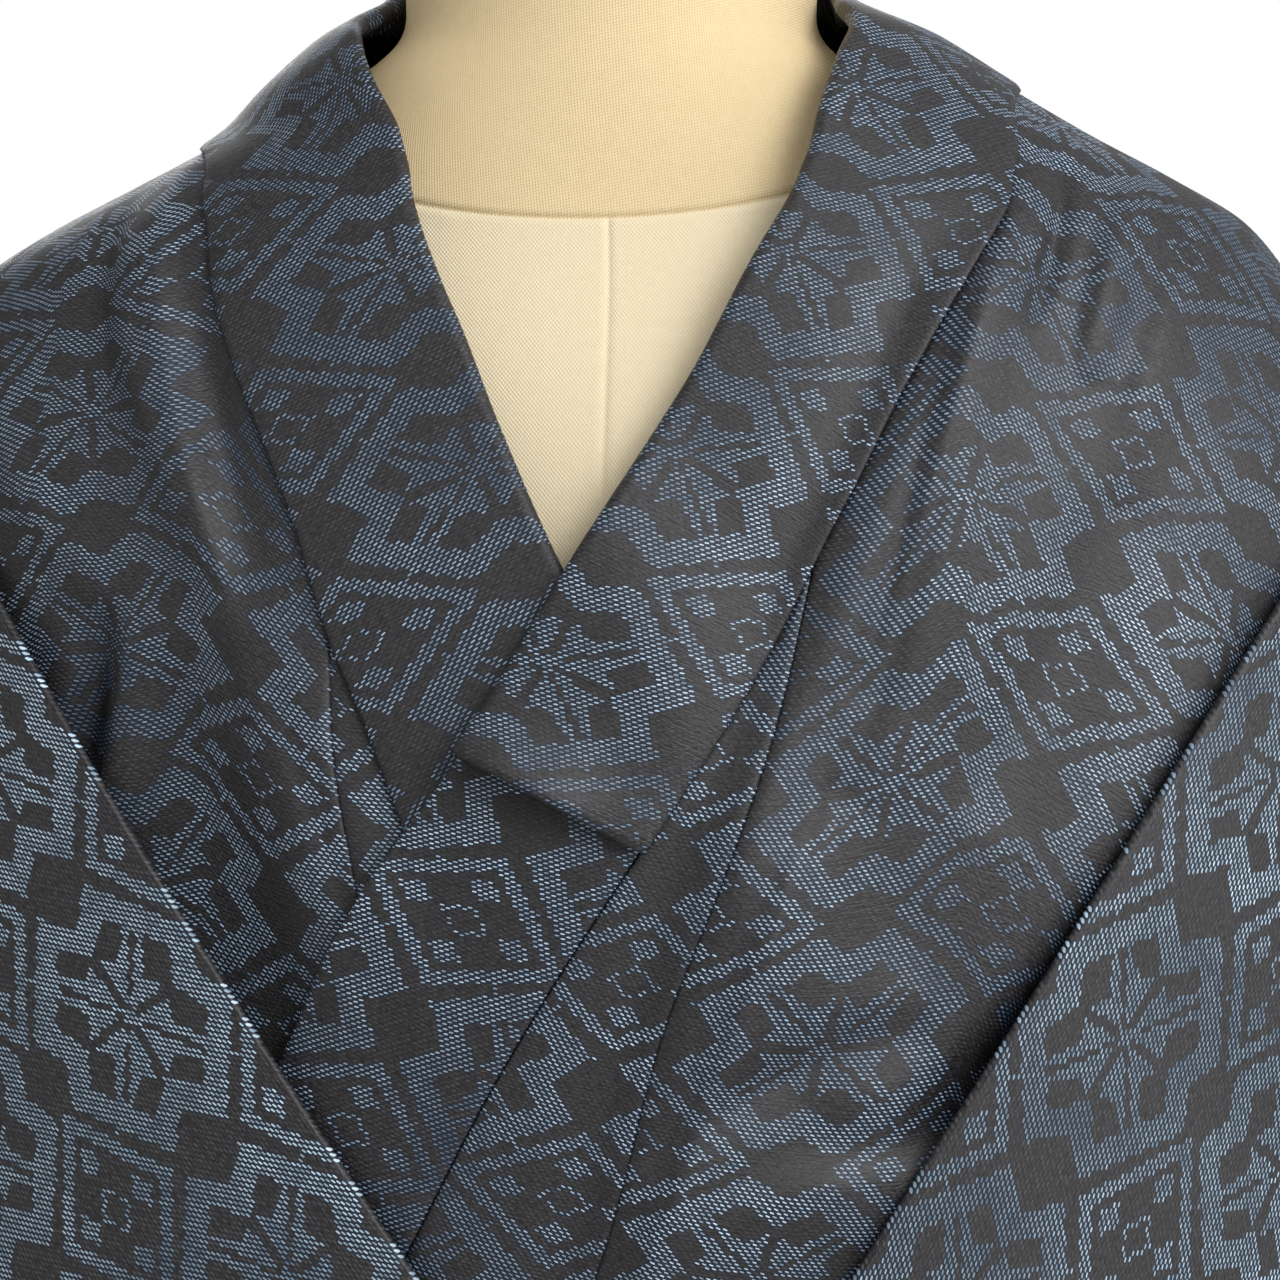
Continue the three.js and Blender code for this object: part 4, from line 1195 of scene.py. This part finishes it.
def sleeve_places(side, along, share, layer, creases):
    """Points of one layer: start on the slanting top fold, walk round and down by the hang, stand out by
    the swing, and part the two layers by the bag's fullness."""
    (arm_x, arm_z), (cuff_x, cuff_z) = SLEEVE_FOLD[side]
    across = arm_x + (cuff_x - arm_x) * along
    top = arm_z + (cuff_z - arm_z) * along
    near = 1 - smooth(along / 0.35)
    sewn = near * (1 - smooth((share - ARMHOLE_SHARE) / 0.3))
    open_part = np.sin(np.pi * np.minimum(1, share / ARMHOLE_SHARE))
    out = ARM_OUT + CUFF_OUT * smooth(along / 0.25) + SWING * smooth(share / 0.6) * (1 - sewn)
    bag = BAG["middle"] * np.sin(np.pi * share) ** 0.8 * (1 - sewn)
    bag = bag + BAG["mouth"] * smooth((along - 0.6) / 0.4) * open_part
    shut = smooth((along - 0.75) / 0.25) * smooth((share - ARMHOLE_SHARE) / 0.08)
    from_fold = np.minimum(share, 1 - share) * SLEEVE_DEPTH / FOLD_RADIUS
    rounding = np.sqrt(1 - (1 - np.minimum(from_fold, 1)) ** 2)
    side_turn = np.where(across < 0, -60, 60) * SIDE_SIGN[side]
    wide, _ = halves(side_turn, top)
    start = np.arcsin(across / (wide + out)) / RADIAN
    way_round = np.interp(share, HANG_SHARE, HANG_WAY[0])
    down = np.interp(share, HANG_SHARE, HANG_WAY[1])
    shift = np.where(layer < 0, ARMHOLE_WIDTH * open_part * near, 0)
    turn = walk_round(side, start, top - down, way_round - shift, out)
    apart = FOLD_RADIUS * rounding
    away = np.where(layer < 0, out - apart, out + apart + bag * (1 - shut))
    return on_drape(SIDE_SIGN[side] * turn, top - down, away + creases)


# %% Creases of the sleeves
# Rows as before, with places as (way along the fold from the armhole, way down from the fold).
SLEEVE_STROKES = {
    "left": [
        (2.2, 12, 18, [(30, 4), (70, 60), (96, 130), (110, 220)]),
        (-1.6, 16, 22, [(120, 10), (150, 90), (168, 190)]),
        (2, 16, 14, [(220, 30), (228, 130), (240, 260)]),
        (3, 22, 16, [(60, 180), (96, 280), (110, 420)]),
        (-2.6, 20, 24, [(180, 240), (196, 330), (200, 460)]),
        (-2.4, 9, 12, [(16, 130), (22, 190), (50, 250)]),
    ],
    "right": [
        (-2.8, 9, 14, [(24, 60), (20, 110), (30, 190), (26, 300)]),
        (1.8, 16, 20, [(60, 20), (80, 110), (84, 220)]),
        (-1.5, 18, 18, [(150, 20), (164, 110), (176, 240)]),
        (1.8, 18, 14, [(250, 40), (244, 150), (252, 260)]),
        (2.8, 16, 22, [(80, 220), (110, 320), (120, 440)]),
        (2.2, 24, 18, [(200, 230), (214, 340), (216, 470)]),
    ],
}
SLEEVE_LENGTH = 330
SLEEVE_COLUMNS = 100
LAYER_ROWS = 96
SLEEVE_SHARES = np.concatenate([
    [0, 0.003, 0.008],
    np.linspace(0.015, 0.985, SLEEVE_COLUMNS),
    [0.992, 0.997, 1],
])
SLEEVE_SHIFT = (0.021, 0.037)


def sleeve_piece(side):
    """The bag's net: shares of the depth down one layer and up the other, close at both folds."""
    even = np.linspace(0, 1, LAYER_ROWS)
    fold = FOLD_RADIUS / SLEEVE_DEPTH * (1 - np.cos(np.linspace(0, np.pi / 2, 5)))
    shares = np.concatenate([fold, 0.0045 + 0.991 * even, 1 - fold[::-1]])
    ring = np.concatenate([shares[::-1], shares[1:-1]])
    layer = np.concatenate([-np.ones(len(shares)), np.ones(len(shares) - 2)])
    share_net, along_net = np.meshgrid(ring, SLEEVE_SHARES)
    layer_net = np.broadcast_to(layer, share_net.shape)
    down = share_net * SLEEVE_DEPTH
    creases = stroke_lift(along_net * SLEEVE_LENGTH, down, SLEEVE_STROKES[side]) * smooth(down / 30)
    creases = np.where(layer_net < 0, np.clip(creases, -2, 0.4), creases)
    ends = np.minimum(along_net, 1 - along_net) * SLEEVE_LENGTH
    creases = creases + layer_net * seam_dip(ends, 0.9, 1.4)
    points = sleeve_places(side, along_net, share_net, layer_net, creases)
    weft = SIDE_SIGN[side] * SLEEVE_SHARES[:, None] * SLEEVE_LENGTH
    warp = np.concatenate([layer * ring, [1]]) * SLEEVE_DEPTH
    cloth = np.stack(np.broadcast_arrays(weft, warp), -1) / 1000
    if side == "left":
        points, cloth = points[::-1], cloth[::-1]
    cloth = cloth + (SIDE_SIGN[side] * SLEEVE_SHIFT[0], SLEEVE_SHIFT[1])
    return net_piece(f"{side}_sleeve_bag", points, cloth, SLEEVE_SILK, closed=True, thick=1.1)


sleeve_left = sleeve_piece("left")
sleeve_right = sleeve_piece("right")

# %% [markdown]
# ## The dress form
# The form is a padded shell covered with stretched canvas: a neck piece and a chest, joined in a seam
# that dips at the front, and a seam down the centre front and centre back. It could be two pieces that
# touch, but the canvas is stretched tight over both. So it is one closed net whose rows follow the neck
# seam. The seams are shallow grooves with the rows and columns set close there.

# %% The form's rows and its net
FORM = columns_of("height side front back", [
    (-716, 150, 88, 90),
    (-690, 172, 102, 104),
    (-560, 180, 106, 106),
    (-430, 172, 102, 90),
    (-330, 184, 115, 99),
    (-260, 194, 116, 104),
    (-200, 201, 110, 103),
    (-150, 202, 99, 97),
    (-115, 196, 87, 91),
    (-95, 185, 77, 86),
    (-81, 170, 70, 81),
    (-68, 150, 65, 76),
    (-55, 125, 62, 72),
    (-42, 100, 60, 69),
    (-27, 81, 58, 65),
    (-12, 67, 56, 61),
    (10, 61, 55, 58),
    (70, 59, 54, 56),
    (80, 55, 50, 52),
])
NECK_SEAM = {"front": -69, "side": -28, "back": -22}
FORM_TURN = 2.4
FORM_DEGREE = 1.8
ROWS_BELOW = 90
ROWS_ABOVE = 50
ROWS_GATHER = 0.7
SEAM_CLEAR = 3
NECK_GROOVE = {"deep": 1.2, "wide": 0.7}
MIDDLE_GROOVE = {"deep": 0.7, "wide": 0.45}
COLLAR_ROOM = {"deep": 4, "height": -10, "reach": 10}
form_half = {name: curve(FORM["height"], FORM[name]) for name in ("side", "front", "back")}


def neck_seam(turn):
    """Height of the neck seam: lowest at the centre front, and up to the sides by the sine squared."""
    rise = np.sin(turn * RADIAN) ** 2
    front = NECK_SEAM["front"] + (NECK_SEAM["side"] - NECK_SEAM["front"]) * rise
    back = NECK_SEAM["back"] + (NECK_SEAM["side"] - NECK_SEAM["back"]) * rise
    return np.where(np.cos(turn * RADIAN) > 0, front, back)


def form_piece():
    """Columns all round, rows from below to the neck's top, each a share of the way to the seam. The
    sides of the neck give way a little under the folded collar, by a bell curve of the height."""
    near_seam = np.array([-4, -2.4, -1.2, -0.6, 0, 0.6, 1.2, 2.4, 4.0])
    near_front = np.array([-3.6, -1.8, -0.9, -0.45, -0.2, 0, 0.2, 0.45, 0.9, 1.8, 3.6])
    half_round = np.linspace(6, 174, 60)
    middle = len(near_front) // 2
    turn = np.concatenate([
        near_front[middle:] - 180,
        half_round - 180,
        near_front,
        half_round,
        near_front[:middle] + 180,
    ])
    front_column = int(np.abs(turn).argmin())
    on_front = np.minimum(np.abs(turn), 180 - np.abs(turn)) * FORM_DEGREE
    turn = turn + FORM_TURN
    seam = neck_seam(turn)
    bottom, top = FORM["height"][[0, -1]]
    low = np.linspace(0, 1, ROWS_BELOW)[:, None] ** ROWS_GATHER
    below = bottom + (seam + near_seam[0] - SEAM_CLEAR - bottom) * low
    first_above = seam + near_seam[-1] + SEAM_CLEAR
    above = first_above + (top - first_above) * np.linspace(0, 1, ROWS_ABOVE)[:, None]
    height = np.concatenate([below, seam + near_seam[:, None], above])
    s, c = np.sin(turn * RADIAN), np.cos(turn * RADIAN)
    wide = form_half["side"](height)
    deep = np.where(c > 0, form_half["front"](height), form_half["back"](height))
    groove = -NECK_GROOVE["deep"] * np.exp(-(((height - seam) / NECK_GROOVE["wide"]) ** 2))
    middle_groove = MIDDLE_GROOVE["deep"] * np.exp(-((on_front / MIDDLE_GROOVE["wide"]) ** 2))
    groove = groove - middle_groove * (height < seam)
    beside = np.exp(-(((height - COLLAR_ROOM["height"]) / COLLAR_ROOM["reach"]) ** 2)) * s**4
    groove = groove - COLLAR_ROOM["deep"] * beside
    length = np.hypot(s / wide, c / deep)
    x = wide * s + s / wide / length * groove
    y = -deep * c - c / deep / length * groove
    points = np.stack([x, y, NECK_POINT + height], -1)
    step = np.linalg.norm(np.diff(points, axis=1, append=points[:, :1]), axis=-1)
    along = added_up(step)
    along = along - along[:, front_column:front_column + 1]
    up = np.concatenate([height, height[:, :1]], 1)
    cloth = np.stack([along, up], -1) / 1000
    piece = net_piece("dress_form", points, cloth, CHEST_CANVAS, closed=True, caps=True)
    piece.data.materials.append(NECK_CANVAS)
    neck_row = len(below) + len(near_seam) // 2
    finish = np.zeros(len(piece.data.polygons), np.int32)
    finish[neck_row * len(turn):-2] = 1
    piece.data.polygons.foreach_set("material_index", finish)
    return piece


dress_form = form_piece()

# %% [markdown]
# ## Cap, pole, socket and base
# All four are turned or spun round one axis. Blender's own cylinders would do for the pole, but not for
# the cap and the flared socket, so each is an outline of radius and height carried round. A Bevel
# modifier breaks the sharp edges as a file or a press tool would.

# %% Turned pieces
BASE = {"radius": 215, "thick": 22, "edge": 5}
POLE_RADIUS = 16
FORM_BOTTOM = -716
CAP = {"radius": 46, "bottom": 80.4, "thick": 14.6}


def turned_piece(name, outline, finish, bevel, columns=96):
    """Surface of revolution: radius times cosine and sine at each height of the outline, with a flat cap
    on either end. An outline that ends where it starts makes a ring without caps."""
    radius, height = np.array(outline, float).T
    angle = np.linspace(0, 2 * np.pi, columns, endpoint=False)
    points = np.stack(np.broadcast_arrays(
        radius[:, None] * np.cos(angle),
        radius[:, None] * np.sin(angle),
        height[:, None],
    ), -1)
    run = added_up(np.hypot(np.diff(radius), np.diff(height)))
    around = np.linspace(0, 2 * np.pi, columns + 1) * radius.max()
    cloth = np.stack(np.meshgrid(around, run), -1) / 1000
    closed_loop = outline[0] == outline[-1]
    piece = net_piece(name, points, cloth, finish, closed=True, caps=not closed_loop)
    if closed_loop:
        merge_ends(piece.data)
    edge = piece.modifiers.new("eased edges", "BEVEL")
    edge.width = bevel / 1000
    edge.segments = 3
    edge.limit_method = "ANGLE"
    edge.angle_limit = 30 * RADIAN
    return piece


def merge_ends(mesh):
    """Joins the first and last ring of a ring-shaped outline."""
    work = bmesh.new()
    work.from_mesh(mesh)
    bmesh.ops.remove_doubles(work, verts=work.verts, dist=1e-6)
    work.to_mesh(mesh)
    work.free()


cap_low = NECK_POINT + CAP["bottom"]
cap_top = cap_low + CAP["thick"]
neck_cap = turned_piece("turned_cap", [
    (CAP["radius"] - 2.5, cap_low),
    (CAP["radius"] - 0.6, cap_low + 1.2),
    (CAP["radius"], cap_low + 4),
    (CAP["radius"] - 0.4, cap_top - 5),
    (CAP["radius"] - 2.5, cap_top - 1.6),
    (CAP["radius"] - 6, cap_top),
], WOOD, 0.6)
base = turned_piece("round_base", [
    (BASE["radius"] - 1, 0),
    (BASE["radius"], 2),
    (BASE["radius"], BASE["thick"] - BASE["edge"]),
    (BASE["radius"] - BASE["edge"], BASE["thick"]),
], STEEL, 1.6, 160)
pole = turned_piece("form_pole", [
    (POLE_RADIUS, BASE["thick"] + 0.5),
    (POLE_RADIUS, NECK_POINT + FORM_BOTTOM - 0.5),
], STEEL, 0.8)
socket = turned_piece("pole_socket", [
    (POLE_RADIUS + 0.5, BASE["thick"] + 0.5),
    (30, BASE["thick"] + 0.5),
    (30, BASE["thick"] + 18.5),
    (20, BASE["thick"] + 46.5),
    (POLE_RADIUS + 0.5, BASE["thick"] + 46.5),
    (POLE_RADIUS + 0.5, BASE["thick"] + 0.5),
], STEEL, 1.2)

# %% [markdown]
# ## What each piece stands for
# Every finished piece rides the one rigid body and replaces its plain solid, which is hidden.

# %% Pieces, solids and slots
STANDS_FOR = [
    (body_left, "body_left", "silk"),
    (body_right, "body_right", "silk"),
    (overlap_left, "overlap_left", "silk"),
    (overlap_right, "overlap_right", "silk"),
    (collar, "collar", "silk"),
    (collar_cover, "collar_cover", "silk"),
    (sleeve_left, "sleeve_left", "silk"),
    (sleeve_right, "sleeve_right", "silk"),
    (dress_form, "form_body", "canvas"),
    (neck_cap, "neck_cap", "wood"),
    (pole, "stand_pole", "steel"),
    (socket, "stand_socket", "steel"),
    (base, "stand_base", "steel"),
]
for piece, node, slot in STANDS_FOR:
    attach(piece, "root")
    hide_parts(node)

print(len(STANDS_FOR), "pieces stand for the plain solids")

# %% [markdown]
# ## Floor, light and camera
# A pale floor and a pale surround that is brighter towards the wearer's left show dark silk without hard
# reflections. One large soft lamp stands high in front on the wearer's left, a weak one on either side
# and one behind. The camera stands a little to the wearer's left and just above the collar's height.

# %% Floor and lamps
bpy.ops.mesh.primitive_plane_add(size=12, location=(0, 0, 0))
floor = bpy.context.object
floor.name = "floor"
floor_finish, _, floor_shader, _ = shader_of("pale floor", 0.7, 0.2)
feed(floor_shader.inputs["Base Color"], (0.86, 0.86, 0.86, 1))
floor.data.materials.append(floor_finish)

bpy.context.scene.view_settings.view_transform = "Standard"
world = bpy.data.worlds.new("pale surround")
world.use_nodes = True
WORLD_LIGHT = {"way": (0.72, -0.35, 0.6), "dim": 0.14, "bright": 0.8, "power": 1.6}


def pale_surround(tree):
    """White to look at. As light it grows from dim to bright towards one direction, by the cosine."""
    background = tree.nodes["Background"]
    feed(background.inputs["Color"], (1, 1, 1, 1))
    way = new_node(tree, "TexCoord")
    dot = new_node(tree, "VectorMath", operation="DOT_PRODUCT")
    feed(dot.inputs[1], WORLD_LIGHT["way"])
    feed(dot.inputs[0], way.outputs["Generated"])
    m = arithmetic(tree)
    share = m("POWER", m("MULTIPLY_ADD", dot.outputs["Value"], 0.5, 0.5), WORLD_LIGHT["power"])
    light = m("MULTIPLY_ADD", share, WORLD_LIGHT["bright"] - WORLD_LIGHT["dim"], WORLD_LIGHT["dim"])
    seen = new_node(tree, "LightPath").outputs["Is Camera Ray"]
    feed(background.inputs["Strength"], m("MAXIMUM", light, seen))


pale_surround(world.node_tree)
bpy.context.scene.world = world


def soft_lamp(name, place, aim, size, power):
    """A square area lamp turned so that its face looks at the aim."""
    lamp = bpy.data.lights.new(name, "AREA")
    lamp.size = size
    lamp.energy = power
    holder = bpy.data.objects.new(name, lamp)
    holder.location = place
    holder.rotation_euler = (Vector(aim) - Vector(place)).to_track_quat("-Z", "Y").to_euler()
    bpy.context.scene.collection.objects.link(holder)
    return holder


LAMP_AIM = (0, 0, 1.25)
soft_lamp("key lamp", (1.5, -1.5, 2.5), LAMP_AIM, 1.3, 46)
soft_lamp("left side lamp", (2.2, -0.7, 1.5), LAMP_AIM, 1.2, 7)
soft_lamp("right side lamp", (-2.2, -0.9, 1.9), LAMP_AIM, 1.2, 6)
soft_lamp("back lamp", (-0.6, 2.4, 2.2), LAMP_AIM, 1.5, 22)

# %% Camera
CAMERA_AIM = Vector((0.021, -0.118, 1.284))
CAMERA_DISTANCE = 1.0
CAMERA_AZIMUTH = 6 * RADIAN
CAMERA_ELEVATION = 2 * RADIAN
FIELD_WIDTH = 0.343
SENSOR_WIDTH = 36
lens = bpy.data.cameras.new("camera")
lens.sensor_width = SENSOR_WIDTH
lens.lens = SENSOR_WIDTH * CAMERA_DISTANCE / FIELD_WIDTH
camera = bpy.data.objects.new("camera", lens)
level = np.cos(CAMERA_ELEVATION)
back_way = Vector((
    np.sin(CAMERA_AZIMUTH) * level,
    -np.cos(CAMERA_AZIMUTH) * level,
    np.sin(CAMERA_ELEVATION),
))
camera.location = CAMERA_AIM + back_way * CAMERA_DISTANCE
camera.rotation_euler = (-back_way).to_track_quat("-Z", "Y").to_euler()
bpy.context.scene.collection.objects.link(camera)
bpy.context.scene.camera = camera
print("lens", round(lens.lens, 1), "mm")
